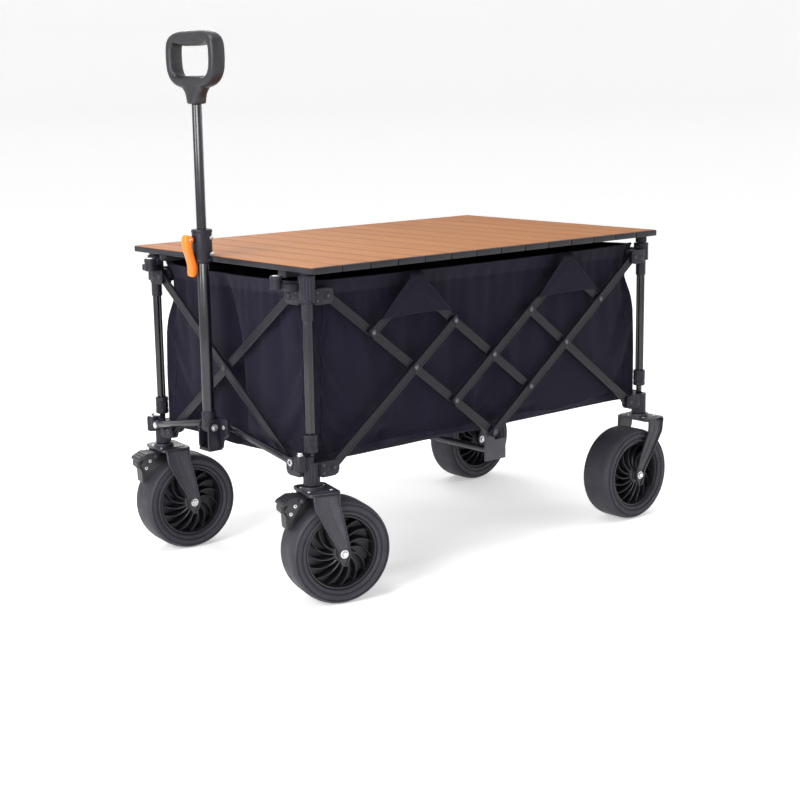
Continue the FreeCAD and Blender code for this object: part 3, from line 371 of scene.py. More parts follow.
class Piece:
    """One object built up from closed shapes, each with a finish of its own."""

    def __init__(self, name, place=None):
        self.name = name
        self.mesh = bmesh.new()
        self.finishes = []
        self.place = place or Matrix.Identity(4)

    def take(self, part, finish):
        """Adds a closed part, given in millimetres in this piece's own place."""
        part.transform(self.place)
        bmesh.ops.recalc_face_normals(part, faces=part.faces)
        if finish not in self.finishes:
            self.finishes.append(finish)
        for face in part.faces:
            face.material_index = self.finishes.index(finish)
            face.smooth = True
        held = bpy.data.meshes.new("part")
        part.to_mesh(held)
        part.free()
        self.mesh.from_mesh(held)
        bpy.data.meshes.remove(held)

    def block(self, low, high, finish, soft):
        """A block between two opposite corners, its edges rounded."""
        part = bmesh.new()
        bmesh.ops.create_cube(part, size=1.0)
        low, high = Vector(map(min, low, high)), Vector(map(max, low, high))
        span, middle = high - low, (low + high) / 2
        for vert in part.verts:
            vert.co = Vector(middle[k] + vert.co[k] * span[k] for k in range(3))
        soften(part, part.edges[:], min(soft, min(span) * 0.45), 2)
        self.take(part, finish)

    def plate(self, outline, along, low, high, finish, soft=0.8):
        """A closed outline extruded along X, Y or Z, its rims rounded.

        The outline's two numbers are the other two axes, in the order X, Y, Z."""
        part = bmesh.new()
        depth_axis = "xyz".index(along)
        low, high = min(low, high), max(low, high)
        rings = []
        for depth in (low, high):
            points = [[*flat[:depth_axis], depth, *flat[depth_axis:]] for flat in outline]
            rings.append([part.verts.new(point) for point in points])
        caps = [part.faces.new(ring) for ring in rings]
        self.bridge(part, *rings)
        rims = list({edge for cap in caps for edge in cap.edges})
        soften(part, rims, min(soft, (high - low) * 0.45), 2)
        self.take(part, finish)

    @staticmethod
    def bridge(part, first, second):
        """Joins two rings of points by a band of faces."""
        for k in range(len(first)):
            after = (k + 1) % len(first)
            part.faces.new((first[k], first[after], second[after], second[k]))

    def loft(self, rings, finish, closed=False):
        """A skin through rings of points, capped at both ends unless it closes on itself."""
        part = bmesh.new()
        loops = [[part.verts.new(p) for p in ring] for ring in rings]
        pairs = list(zip(loops, loops[1:]))
        if closed:
            pairs.append((loops[-1], loops[0]))
        else:
            part.faces.new(loops[0])
            part.faces.new(loops[-1])
        for first, second in pairs:
            self.bridge(part, first, second)
        self.take(part, finish)

    def rod(self, start, end, radius, finish, soft=0.8, sides=36, flutes=0, depth=0.0):
        """A round rod between two points. Flutes are shallow grooves along it."""
        start, end = Vector(start), Vector(end)
        axis = (end - start).normalized()
        soft = min(soft, (end - start).length * 0.4)
        steps = ((0.0, -soft), (0.3 * soft, -0.3 * soft), (soft, 0.0))
        places = [(start + axis * along, drop) for along, drop in steps]
        places += [(end - axis * along, drop) for along, drop in reversed(steps)]
        reaches = [
            radius - depth * (0.5 + 0.5 * math.cos(flutes * FULL_TURN * k / sides)) ** 2
            for k in range(sides)
        ]
        around = list(zip(round_axis(axis, sides), reaches))
        self.loft([[p + out * (reach + drop) for out, reach in around] for p, drop in places], finish)

    def turned(self, profile, finish, steps=48, middle=ORIGIN, axis=UP):
        """A closed profile of (radius, place along the axis) points, turned about it."""
        middle, axis = Vector(middle), Vector(axis)
        around = round_axis(axis, steps)
        rings = [[middle + out * r + axis * t for r, t in profile] for out in around]
        self.loft(rings, finish, closed=True)

    def stacked(self, middle, axis, profile, finish, steps):
        """Circles about an axis, each a (radius, height) pair, capped at both ends."""
        middle, axis = Vector(middle), Vector(axis)
        around = round_axis(axis, steps)
        self.loft([[middle + out * r + axis * t for out in around] for r, t in profile], finish)

    def dome(self, middle, axis, radius, height, finish, steps=20):
        """A low round head, such as a rivet's."""
        shares = (0.0, 0.25, 0.5, 0.72, 0.88, 0.97)
        profile = [(radius * math.cos(math.asin(share)), height * share) for share in shares]
        self.stacked(middle, axis, profile, finish, steps)

    def bolt(self, middle, axis, across, height, finish):
        """A six-sided bolt head with a chamfered top."""
        half = across / 2
        self.stacked(middle, axis, ((half, 0.0), (half, height * 0.72), (half * 0.86, height)), finish, 6)

    def strip(self, points, wide, thick, finish, up, sides=12):
        """A rounded band swept along points. up is the way its width lies."""
        points = [Vector(p) for p in points]
        rings = []
        for k, point in enumerate(points):
            ahead = points[min(k + 1, len(points) - 1)] - points[max(k - 1, 0)]
            ahead.normalize()
            across = Vector(up)
            across = (across - ahead * across.dot(ahead)).normalized()
            through = ahead.cross(across)
            rings.append([
                point + across * swollen(c, 0.5) * wide / 2 + through * s * thick / 2
                for c, s in circle(sides)
            ])
        self.loft(rings, finish)

    def done(self, body, slot, *replaced, sharp=35.0):
        """Makes the object in metres, lets it ride on its body and stand for CAD nodes."""
        for edge in self.mesh.edges:
            edge.smooth = edge.calc_face_angle(0.0) < math.radians(sharp)
        data = bpy.data.meshes.new(self.name)
        self.mesh.transform(Matrix.Translation(MIDDLE) @ Matrix.Scale(MM, 4))
        self.mesh.to_mesh(data)
        self.mesh.free()
        for finish in self.finishes:
            data.materials.append(finish)
        made = shown(self.name, data)
        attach(made, body)
        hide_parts(*replaced)
        return made


# ------------------------------------------------------------ lattice


class Row:
    """The plane of a row of posts: along X for a long side, along Y for an end."""

    def __init__(self, axis, outward):
        self.axis, self.outward = axis, outward
        self.distance = POST_Y if axis == "x" else POST_X
        self.way = self.turned(0, outward, 0)

    def turned(self, along, out, height):
        return Vector((along, out, height) if self.axis == "x" else (out, along, height))

    def point(self, flat, depth):
        """The point at a (place along the row, height) pair, some depth outward."""
        return self.turned(flat[0], self.outward * (self.distance + depth), flat[1])

    def bar_line(self, node):
        """A bar's first and last pivots, as (place along the row, height) pairs."""
        low, high = box_mm(node)
        top = max((vert.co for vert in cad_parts[node].data.vertices), key=lambda co: co.z)
        k = "xyz".index(self.axis)
        rising = (top[k] - MIDDLE[k]) / MM > (low[k] + high[k]) / 2
        heights = low.z + BAR_HALF, high.z - BAR_HALF
        first, last = heights if rising else reversed(heights)
        return Vector((low[k] + BAR_HALF, first)), Vector((high[k] - BAR_HALF, last))


def meeting(first, second):
    """Where two pivot lines cross, or None."""
    (p, p_end), (q, q_end) = first, second
    r, s, gap = p_end - p, q_end - q, q - p
    turn = r.cross(s)
    if abs(turn) < 1e-6:
        return None
    t, u = gap.cross(s) / turn, gap.cross(r) / turn
    slack = 0.02
    if -slack < t < 1 + slack and -slack < u < 1 + slack:
        return p + r * t
    return None


def bar_section(near, far):
    """Half widths and depths round a pressed bar: a flat tube with a shallow trough."""
    lip, slope, trough, edge, bend = 2.6, 0.8, 0.7, 1.1, 0.33
    half = BAR_HALF
    return [
        (-half, near + edge), (-half + bend, near + bend), (-half + edge, near),
        (half - edge, near), (half - bend, near + bend), (half, near + edge),
        (half, far - edge), (half - bend, far - bend), (half - edge, far),
        (half - lip, far), (half - lip - slope, far - trough),
        (-half + lip + slope, far - trough), (-half + lip, far),
        (-half + edge, far), (-half + bend, far - bend), (-half, far - edge),
    ]


def lattice_bar(piece, line, row, near):
    """A bar between its end pivots, with slightly narrowed tips."""
    start, end = line
    ahead = (end - start).normalized()
    across = Vector((-ahead.y, ahead.x))
    tip, shoulder, narrowed = BAR_HALF - 1.0, BAR_HALF - 2.5, 0.86
    rings = []
    for middle, share in (
        (start - ahead * tip, narrowed), (start - ahead * shoulder, 1.0),
        (end + ahead * shoulder, 1.0), (end + ahead * tip, narrowed),
    ):
        section = bar_section(near, near + BAR_THICK)
        rings.append([row.point(middle + across * wide * share, depth) for wide, depth in section])
    piece.loft(rings, bar_paint)


def rivet(piece, spot, row, finish):
    """A domed rivet head on a washer, at a crossing."""
    middle = row.point(spot, LAYERS["outer"] + BAR_THICK)
    piece.rod(middle, middle + row.way * 0.7, 5.6, dark_steel, 0.3, 24)
    piece.dome(middle + row.way * 0.6, row.way, 3.52, 1.9, finish)


def lattice(row, numbers, outer, node, body, title, head):
    """The crossed bars of one row, each an object on its own body.

    outer tells from a bar's number and line whether it lies in the outer layer."""
    lines = {n: row.bar_line(f"{node}_{n}") for n in numbers}
    in_front = [n for n, line in lines.items() if outer(n, line)]
    for number, line in lines.items():
        piece = Piece(f"{title}_{number}")
        lattice_bar(piece, line, row, LAYERS["outer" if number in in_front else "inner"])
        for other in lines:
            spot = meeting(line, lines[other])
            if number in in_front and other not in in_front and spot is not None:
                rivet(piece, spot, row, head)
        piece.done(f"{body}_{number}", "bar_paint", f"{node}_{number}")


def side_lattice(side):
    """The eight bars of one long side. Those that rise towards the rear are outside."""
    lattice(
        Row("x", SIDES[side]), range(1, 9), lambda _, line: line[1].y > line[0].y,
        f"side_bar_{side}", f"lattice_{side}", f"lattice_bar_{side}", rivet_zinc,
    )


def end_lattice(end):
    """The two crossed bars of the front or rear."""
    lattice(
        Row("y", ENDS[end]), (1, 2), lambda number, _: number == 1,
        f"{end}_bar", f"cross_{end}", f"cross_bar_{end}", dark_steel,
    )


# ------------------------------------------------------------ corners

EAR_BACK, EAR_FACE = -4.5, 1.5
CHEEK = 4.6
POST_REACH = 9.0


def corner_place(end, side, facing):
    """Local axes at a corner post: X inward along a row of posts, Y out of that row.

    facing is "side" for the long side's lattice and "end" for the front's or rear's."""
    sx, sy = ENDS[end], SIDES[side]
    turns = {"side": ((-sx, 0, 0), (0, sy, 0), UP), "end": ((0, sx, 0), (-sy, 0, 0), UP)}
    return corner_post(end, side) @ Matrix(turns[facing]).to_4x4()


def ear(piece, pivot_z, layer):
    """A clevis for the end of a lattice bar: two cheeks, a web block and a rivet."""
    face = LAYERS[layer] + BAR_THICK + 0.5
    outside = face + CHEEK
    reach, tip = EAR_REACH, EAR_REACH + 11.0
    outline = rounded(
        [
            (8.0, pivot_z + 15.0), (tip, pivot_z + 14.0), (tip, pivot_z - 9.0),
            (reach + 4.0, pivot_z - 15.0), (8.0, pivot_z - 15.0),
        ],
        5.0,
    )
    piece.plate(outline, "y", EAR_BACK, EAR_FACE, bracket_plastic, 1.0)
    piece.plate(outline, "y", face, outside, bracket_plastic, 1.2)
    piece.block((6.0, EAR_BACK, pivot_z - 14.0), (29.0, face + 2.0, pivot_z + 14.0), bracket_plastic, 1.6)
    piece.rod((reach, EAR_FACE - 1, pivot_z), (reach, outside, pivot_z), 3.9, dark_steel)
    if layer == "outer":
        spacer = (reach, EAR_FACE - 0.5, pivot_z), (reach, LAYERS["outer"] - 0.4, pivot_z)
        piece.rod(*spacer, 6.0, bracket_plastic)
    rim = [(3.0, 0.0), (7.4, 0.0), (7.4, 0.8), (6.6, 1.4), (3.0, 1.4)]
    piece.turned(rim, bracket_plastic, 32, (reach, outside, pivot_z), (0, 1, 0))
    piece.dome((reach, outside, pivot_z), (0, 1, 0), 3.6, 1.6, dark_steel)
    for z in (pivot_z - 7.5, pivot_z + 7.5):
        piece.rod((15.0, face + 1.5, z), (15.0, outside + 0.5, z), 2.2, dark_steel, 0.5, 16)
    rib = (10.0, outside - 0.6, pivot_z - 3.0), (26.0, outside + 0.7, pivot_z + 3.0)
    piece.block(*rib, bracket_plastic, 0.6)


def ears(piece, end, side, pivot_z, near, far):
    """A bracket's two ears. near is the layer of those at the front and at the left."""
    layers = {"side": near if end == "front" else far, "end": near if side == "left" else far}
    for facing, layer in layers.items():
        piece.place = corner_place(end, side, facing)
        ear(piece, pivot_z, layer)


def sleeve(piece, low, high, bore):
    """The ribbed collar of a bracket round its post, between two plain bands."""
    reach, band = 16.0, 5.0
    for a, b in ((low, low + band), (high - band, high)):
        hoop = [(bore, a), (reach - 1, a), (reach, a + 1), (reach, b - 1), (reach - 1, b), (bore, b)]
        piece.turned(hoop, bracket_plastic)
    ribbed = (0, 0, low + band - 1), (0, 0, high - band + 1)
    piece.rod(*ribbed, reach - 0.3, bracket_plastic, 0.0, 96, 16, 1.3)


def front_lug(piece, low, high):
    """The round lug that stands forward and inward of a front bracket, with its cap."""
    x, y = EAR_REACH, 38.0
    piece.block((4.0, 9.0, low), (x - 4, y - 2, low + 13), bracket_plastic, 2.4)
    barrel = [
        (4.0, low + 2), (10.5, low + 2), (12.0, low + 3.5), (12.0, low + 9), (11.2, low + 10),
        (11.2, high - 9), (12.0, high - 8), (12.0, high - 2.6), (10.2, high - 1), (4.0, high - 1),
    ]
    piece.turned(barrel, bracket_plastic, middle=(x, y, 0))
    piece.dome((x, y, high - 1.4), UP, 7.6, 1.6, bolt_zinc, 28)


def top_bracket(end, side):
    corner = f"{end}_{side}"
    low, high = box_mm(f"top_bracket_{corner}")
    piece = Piece(f"upper_corner_{corner}", corner_place(end, side, "side"))
    sleeve(piece, low.z, high.z, POST_REACH + 0.3)
    ears(piece, end, side, PIVOT_HIGH, "inner", "outer")
    if end == "front":
        front_lug(piece, PIVOT_HIGH + 12.0, PIVOT_HIGH + 40.0)
    piece.done(f"{corner}_upper", "bracket_plastic", f"top_bracket_{corner}")


def post(end, side):
    """A fluted tube with its guide collar."""
    corner = f"{end}_{side}"
    piece = Piece(f"fluted_post_{corner}", corner_post(end, side))
    low, high = POST_LOW.z, POST_LOW.z + 34
    piece.rod((0, 0, low + 10), (0, 0, POST_HIGH.z), POST_REACH, tube_paint, 1.0, 96, 5, 2.0)
    ferrule = [(8.6, 535.0), (10.1, 535.0), (10.6, 536.5), (10.6, 566.5), (8.6, 566.5)]
    piece.turned(ferrule, bracket_plastic, 40)
    collar = [
        (6.4, low), (11.6, low), (13.0, low + 1.5), (13.0, low + 9), (12.0, low + 10), (12.0, high - 9),
        (13.0, high - 8), (13.0, high - 1.5), (11.8, high), (9.2, high), (6.4, high - 20),
    ]
    piece.turned(collar, bracket_plastic)
    for c, s in circle(8):
        x, y = 11.7 * c, 11.7 * s
        piece.rod((x, y, low + 11), (x, y, high - 10), 1.3, bracket_plastic, 0.6, 10)
    piece.done(f"{corner}_upper", "tube_paint", f"post_tube_{corner}")


def bottom_bracket(end, side):
    """The lower bracket with its slide rod and, at the front, the pull arm's seat."""
    corner = f"{end}_{side}"
    low = box_mm(f"bottom_bracket_{corner}")[0].z
    piece = Piece(f"lower_corner_{corner}", corner_place(end, side, "side"))
    sleeve(piece, low, low + 44, 8.2)
    piece.rod((0, 0, low + 16), (0, 0, 560.0), 6.0, tube_paint, 0.8, 72, 6, 0.9)
    ears(piece, end, side, PIVOT_LOW, "outer", "inner")
    if end == "front":
        piece.place = corner_place(end, side, "end")
        z = arm_pivots(side)[0].z
        piece.block((-12.0, 2.0, z - 13), (13.0, 14.8, z + 12), bracket_plastic, 2.0)
        piece.block((-10.0, 13.0, z - 11), (30.0, 18.8, z + 11), bracket_plastic, 1.6)
        x, y = 1.0, 25.0
        barrel = [(3, z - 15), (10, z - 15), (11.5, z - 13.5), (11.5, z + 13), (10.2, z + 15), (3, z + 15)]
        piece.turned(barrel, bracket_plastic, 40, (x, y, 0))
        piece.rod((x, y, z + 13), (x, y, z + 17), 6.4, bolt_zinc, 0.8, 24)
        piece.bolt((x, y, z + 17), UP, 9.0, 4.0, bolt_zinc)
        piece.rod((22.0, 18.0, z), (22.0, 34.0, z), 3.9, dark_steel, 0.6, 20)
    piece.done(f"{corner}_lower", "bracket_plastic", f"bottom_bracket_{corner}")


# ------------------------------------------------------------ wheels and casters

DECK_LOW, DECK_HIGH = 214.0, 220.0
RIM_RADIUS, RIM_HALF = 72.0, 30.0
RIB_COUNT = 15


def caster_place(end, side):
    """A caster's own axes: its kingpin at the middle, X towards its axle."""
    foot = corner_post(end, side)
    ahead = centre_mm(f"tyre_{end}_{side}") - foot.translation
    return foot @ Matrix.Rotation(math.atan2(ahead.y, ahead.x), 4, "Z")


def both_sides(profile):
    """A profile followed by its mirror image across the wheel's middle plane."""
    return profile + [(radius, -across) for radius, across in reversed(profile)]


def tyre(end, side):
    """The wide tyre: flat tread and ridged walls."""
    wall = (
        (28.0, 8.0), (27.5, 3.5), (25.5, 2.0), (23.0, 1.0), (21.8, 1.6), (20.8, 3.6), (19.0, 3.6),
        (18.0, 1.4), (16.0, 0.4), (12.0, 0.0), (10.2, 0.4), (9.2, 2.8), (7.8, 3.0), (6.8, 1.6),
        (5.0, 2.4), (3.0, 5.0), (1.4, 8.6), (0.4, 13.0), (0.0, 18.0), (0.0, TYRE_HALF - 6.0),
    )
    profile = [(WHEEL_RADIUS - drop, TYRE_HALF - inset) for drop, inset in wall]
    piece = Piece(f"beach_tyre_{end}_{side}", caster_place(end, side))
    piece.turned(both_sides(profile), tyre_rubber, 128, (TRAIL, 0, WHEEL_RADIUS), (0, 1, 0))
    piece.done(f"wheel_{end}_{side}", "tyre_rubber", f"tyre_{end}_{side}", sharp=50.0)


def curved_rib(piece, middle, turn, face):
    """One swept blade of the wheel's disc. face is +1 or -1, the side that it is on."""
    rings = []
    steps = 7
    for k in range(steps + 1):
        share = k / steps
        angle = turn + face * 0.62 * share ** 1.3
        thick = 2.4 + 1.2 * (1 - share)
        top = 30.0 - 12.0 * share + 4.0 * share ** 3
        out = Vector((math.cos(angle), 0, math.sin(angle)))
        over = Vector((-math.sin(angle), 0, math.cos(angle)))
        base = middle + out * (17.0 + 50.5 * share)
        section = ((-0.9, 4.0), (-0.5, top - 1), (-0.25, top), (0.25, top), (0.5, top - 1), (0.9, 4.0))
        rings.append([base + over * thick * wide + Vector((0, face * rise, 0)) for wide, rise in section])
    piece.loft(rings, rim_plastic)


def wheel_rim(end, side):
    """The black wheel: a deep barrel, a dished disc, curved ribs and a long hub."""
    corner = f"{end}_{side}"
    piece = Piece(f"spoked_rim_{corner}", caster_place(end, side))
    middle = Vector((TRAIL, 0, WHEEL_RADIUS))
    rim, half = RIM_RADIUS, RIM_HALF
    barrel = [
        (rim - 0.2, 1 - half), (rim - 1.5, -half - 1.5), (rim - 4.0, -half - 1.8), (rim - 5.2, -half),
        (rim - 6.0, -8.0),
    ]
    disc = [(14.0, -4.0), (40.0, -2.6), (rim - 5.0, -4.5)]
    hub = [(6.1, -37.0), (11.5, -37.0), (12.5, -36.0), (13.0, -33.0), (17.0, -31.0), (18.0, -29.0)]
    for profile, steps in ((barrel, 96), (disc, 96), (hub, 48)):
        piece.turned(both_sides(profile), rim_plastic, steps, middle, (0, 1, 0))
    for face in (-1, 1):
        for k in range(RIB_COUNT):
            curved_rib(piece, middle, FULL_TURN * (k + 0.25 * face) / RIB_COUNT, face)
    piece.done(f"wheel_{corner}", "rim_plastic", f"wheel_rim_{corner}")


def fork_leg(piece, face, near, far):
    """One pressed-steel leg: a plate with a folded lip along both edges and a boss."""
    x, z = TRAIL, WHEEL_RADIUS
    inner, thick, lip = 41.0, 3.0, 6.5
    outline = rounded(
        [
            (near, DECK_LOW + 5), (far, DECK_LOW + 5), (far + 1, DECK_LOW - 22), (x + 12, z + 4),
            (x + 9.5, z - 9), (x + 3, z - 25), (x - 4, z - 24), (x - 12, z - 6), (x - 12.5, z + 6),
            (near + 4, DECK_LOW - 26),
        ],
        7.0, 3,
    )
    piece.plate(outline, "y", face * inner, face * (inner + thick), fork_paint, 0.7)
    half_way = (DECK_LOW + z) / 2
    far_edge = [
        (far, DECK_LOW + 4), (far + 0.6, DECK_LOW - 20), ((far + x + 12) / 2 + 1.2, half_way - 6),
        (x + 11.6, z + 5), (x + 9.2, z - 9), (x + 2.6, z - 23.6),
    ]
    near_edge = [
        (near + 0.5, DECK_LOW + 4), (near + 4.4, DECK_LOW - 24), ((near + x - 12) / 2 + 1.5, half_way - 10),
        (x - 12.0, z + 7), (x - 11.4, z - 7), (x - 4, z - 23),
    ]
    for edge in (far_edge, near_edge):
        y = face * (inner + lip / 2)
        piece.strip([(ex, y, ez) for ex, ez in edge], lip, 2.4, fork_paint, (0, 1, 0), 14)
    outside = inner + thick
    rib = [
        ((a[0] + b[0]) / 2, face * (outside + 0.2), (a[1] + b[1]) / 2 + shift)
        for a, b, shift in zip(far_edge, near_edge, (-14, 0, 0, 12))
    ]
    piece.strip(rib, 9.0, 1.8, fork_paint, (1, 0, 0), 14)
    boss = (x, face * outside, z)
    piece.rod(boss, (x, face * (outside + 0.8), z), 10.5, fork_paint, 0.4, 32)
    piece.rod(boss, (x, face * (outside + 1.6), z), 8.4, bolt_zinc, 0.4, 32)
    piece.bolt((x, face * (outside + 1.4), z), (0, face, 0), 12.4, 4.2, bolt_zinc)


def caster_fork(end, side):
    """A caster's fork, which swivels at the front and is fixed at the rear."""
    corner = f"{end}_{side}"
    body = f"caster_{corner}" if end == "front" else f"{corner}_lower"
    near, far = (-15.0, 36.0) if end == "front" else (-30.0, 14.0)
    piece = Piece(f"pressed_fork_{corner}", caster_place(end, side))
    deck = oblong(near - 7, far + 5, -44, 44, 9.0, 4)
    piece.plate(deck, "z", DECK_LOW, DECK_HIGH, fork_paint, 1.4)
    for face in (-1, 1):
        fork_leg(piece, face, near, far)
        bead = [(near + 6, face * 30.0, DECK_HIGH), (far - 4, face * 30.0, DECK_HIGH)]
        piece.strip(bead, 5.0, 2.0, fork_paint, (0, 1, 0))
    races = (
        (8.0, -1), (21.0, -1), (21.0, 2.2), (19.6, 3.2), (19.6, 4.6), (20.6, 5.6), (20.6, 7.2), (8.0, 7.2),
    )
    piece.turned([(radius, DECK_HIGH + rise) for radius, rise in races], dark_steel)
    piece.rod((0, 0, DECK_HIGH + 5), (0, 0, 238.5), 7.9, bolt_zinc, 0.8, 32)
    for x in (near + 1, far - 6):
        for y in (-20, 20):
            piece.dome((x, y, DECK_HIGH - 0.2), UP, 3.4, 1.8, bolt_zinc)
    piece.rod((TRAIL, -43.0, WHEEL_RADIUS), (TRAIL, 43.0, WHEEL_RADIUS), 5.9, bolt_zinc, 0.6, 28)
    piece.done(body, "fork_paint", f"caster_fork_{corner}")


def brake(side):
    """The foot brake: a ribbed tread, a shoe by the tyre, a hinge pin and two screws."""
    piece = Piece(f"foot_brake_{side}", caster_place("front", side))
    half = 20.0
    tread = rounded(
        [
            (-20.5, 211.5), (-46.0, 213.0), (-66.0, 203.0), (-66.5, 197.0), (-48.0, 203.5),
            (-34.0, 203.0), (-28.0, 199.0), (-20.5, 200.0),
        ],
        3.0,
    )
    shoe = rounded(
        [
            (-26.0, 205.0), (-52.0, 205.0), (-66.5, 199.0), (-67.0, 184.0), (-58.0, 181.0),
            (-57.0, 151.0), (-50.5, 151.0), (-44.5, 173.0), (-26.0, 196.0),
        ],
        4.0,
    )
    cheek = rounded([(-24.0, 207.0), (-52.0, 206.0), (-62.0, 190.0), (-49.0, 168.0), (-38.0, 186.0)], 5.0)
    piece.plate(tread, "y", -half, half, pedal_plastic, 1.6)
    piece.plate(shoe, "y", -half * 0.62, half * 0.62, pedal_plastic, 1.4)
    for y in (2.6 - half, half - 2.6):
        piece.plate(cheek, "y", y - 2.4, y + 2.4, pedal_plastic, 1.0)
    for k in range(6):
        x = -32.0 - 6.0 * k
        z = 212.8 - max(0.0, -46.0 - x) * 0.5
        piece.strip([(x, 2 - half, z), (x, half - 2, z)], 2.4, 1.6, pedal_plastic, (1, 0, 0), 10)
    piece.rod((-30.0, -half - 4, 206.0), (-30.0, half + 4, 206.0), 4.4, dark_steel, 0.8, 24)
    for sign in (-1, 1):
        for x, z in ((-42.0, 197.0), (-51.0, 183.0)):
            piece.rod((x, sign * half, z), (x, sign * (half + 1.8), z), 3.6, bolt_zinc, 0.6, 20)
            piece.rod((x, sign * (half + 1.6), z), (x, sign * (half + 2.2), z), 1.6, dark_steel, 0.2, 6)
    nose = [(-49.0, 0.0, 188.0), (-54.0, 0.0, 170.0), (-53.5, 0.0, 152.0)]
    piece.strip(nose, 22.0, 6.0, pedal_plastic, (0, 1, 0), 16)
    piece.done(f"pedal_{side}", "pedal_plastic", f"brake_pedal_{side}")


# ------------------------------------------------------------ pull linkage and handle

BLOCK_FACE, BLOCK_BACK = -500.5, -494.5
HANDLE_PIVOT = 308.0
CLAMP_LOW, CLAMP_HIGH = 627.0, 690.0


def arm_pivots(side):
    """A pull arm's pivots: the lower one at its corner, the upper one by the handle."""
    low, high = box_mm(f"pull_arm_{side}")
    eye = 9.0
    x = (low.x + high.x) / 2
    ends = low.y + eye, high.y - eye
    corner_y, handle_y = ends if side == "left" else reversed(ends)
    return Vector((x, corner_y, low.z + eye)), Vector((x, handle_y, high.z - eye))


def pull_arm(side):
    """A glossy round arm with a flattened eye at each end."""
    start, end = arm_pivots(side)
    ahead = (end - start).normalized()
    forward = Vector((-1, 0, 0))
    piece = Piece(f"pull_tube_{side}")
    piece.rod(start + ahead * 10, end - ahead * 10, 7.0, tube_paint, 1.0, 48)
    for middle in (start, end):
        piece.rod(middle + forward * 6, middle - forward * 6, 9.0, fork_paint, 1.2, 36)
        piece.rod(middle + forward * 7.6, middle + forward * 5.5, 6.4, bolt_zinc, 0.5, 24)
    for middle, way in ((start, ahead), (end, -ahead)):
        neck = [middle + way * reach for reach in (5, 17, 24)]
        piece.strip(neck, 13.6, 12.0, fork_paint, (1, 0, 0), 20)
    piece.done(f"arm_{side}", "tube_paint", f"pull_arm_{side}")


def handle_bracket():
    """The moulded block between the arms, with the fork that the handle swings in."""
    piece = Piece("handle_fork")
    face, z = BLOCK_FACE, HANDLE_PIVOT
    half = [(42, 294), (42, 324), (20, 326)]
    foot = [(24, 284), (18, 262)]
    mirrored = [(-y, height) for y, height in half]
    block = rounded([*mirrored, *reversed(half), *foot, *[(-y, height) for y, height in reversed(foot)]], 5.0)
    piece.plate(block, "x", face, BLOCK_BACK, bracket_plastic, 1.4)
    cheek = rounded([(-497, 324), (-519, 324), (-527, 314), (-528, 272), (-523, 262), (-497, 262)], 6.0)
    for sign in (-1, 1):
        piece.plate(cheek, "y", sign * 13.5, sign * 17.6, bracket_plastic, 1.3)
        piece.rod((HANDLE_X, sign * 17.0, z), (HANDLE_X, sign * 19.2, z), 7.4, bolt_zinc, 0.5, 28)
        piece.bolt((HANDLE_X, sign * 19.0, z), (0, sign, 0), 9.6, 2.8, bolt_zinc)
        piece.rod((-496, sign * 30.0, z), (face - 2.2, sign * 30.0, z), 4.4, bolt_zinc, 0.6, 20)
        rib = (face - 1.2, sign * 24.0, z - 11), (face + 1.0, sign * 38.0, z - 7)
        piece.block(*rib, bracket_plastic, 0.6)
    sill = rounded([(-527, 262), (-497, 262), (-497, 268), (-526, 268)], 1.5)
    piece.plate(sill, "y", -18.0, 18.0, bracket_plastic, 1.2)
    piece.rod((HANDLE_X, -18.0, z), (HANDLE_X, 18.0, z), 4.9, bolt_zinc, 0.5, 24)
    piece.rod((BLOCK_BACK + 0.5, -30.0, z), (-480.0, -30.0, z), 3.9, dark_steel, 0.5, 20)
    piece.done("pull_block", "bracket_plastic", "handle_bracket")


def half_shell(sign, outer, inner, steps=12):
    """The outline of one half of a split ring, on the left or the right."""
    turns = [math.pi * k / steps for k in range(steps + 1)]
    outside = [(outer * math.cos(a), sign * (0.5 + (outer - 0.5) * math.sin(a))) for a in turns]
    inside = [(inner * math.cos(a), sign * (0.5 + (inner - 0.5) * math.sin(a))) for a in turns]
    return outside + inside[::-1]


def outer_tube():
    """The lower handle tube with its pivot foot and the clamp at its top."""
    piece = Piece("handle_lower_tube", Matrix.Translation((HANDLE_X, 0, 0)))
    low, high = CLAMP_LOW, CLAMP_HIGH
    piece.rod((0, 0, HANDLE_PIVOT + 4), (0, 0, low + 4), 12.0, tube_paint, 0.8, 96, 4, 1.3)
    piece.rod((0, -12.7, HANDLE_PIVOT), (0, 12.7, HANDLE_PIVOT), 12.4, bracket_plastic, 1.2, 40)
    shoe = [(10.4, 312), (12.8, 312), (13.3, 313.5), (13.3, 337), (12.6, 339), (10.4, 339)]
    piece.turned(shoe, bracket_plastic, 40)
    for sign in (-1, 1):
        piece.plate(half_shell(sign, 19.0, 11.0), "z", low, high, bracket_plastic, 1.6)
    half_band = [(10.6, -2.6), (19.4, -2.6), (20.0, -1.6)]
    for z in (low + 4.0, high - 4.0):
        band = [(radius, z + rise) for radius, rise in both_sides(half_band)]
        piece.turned(band, bracket_plastic)
    x, z = lever_hinge()
    x -= HANDLE_X
    piece.block((x - 4.0, -4.0, z - 6.0), (-12.0, 4.0, z + 6.0), bracket_plastic, 1.2)
    piece.rod((x, -8.8, z), (x, 8.8, z), 2.9, bolt_zinc, 0.5, 20)
    for z in (low + 16.0, high - 16.0):
        for sign in (-1, 1):
            piece.rod((9.0, sign * 14.0, z), (9.0, sign * 19.4, z), 4.2, bolt_zinc, 0.8, 20)
    piece.done("handle_outer", "tube_paint", "handle_outer_tube")


def inner_tube():
    low, high = box_mm("handle_inner_tube")
    piece = Piece("handle_upper_tube", Matrix.Translation((HANDLE_X, 0, 0)))
    piece.rod((0, 0, low.z), (0, 0, high.z), 9.8, tube_paint, 0.8, 96, 4, 1.1)
    piece.done("handle_inner", "tube_paint", "handle_inner_tube")


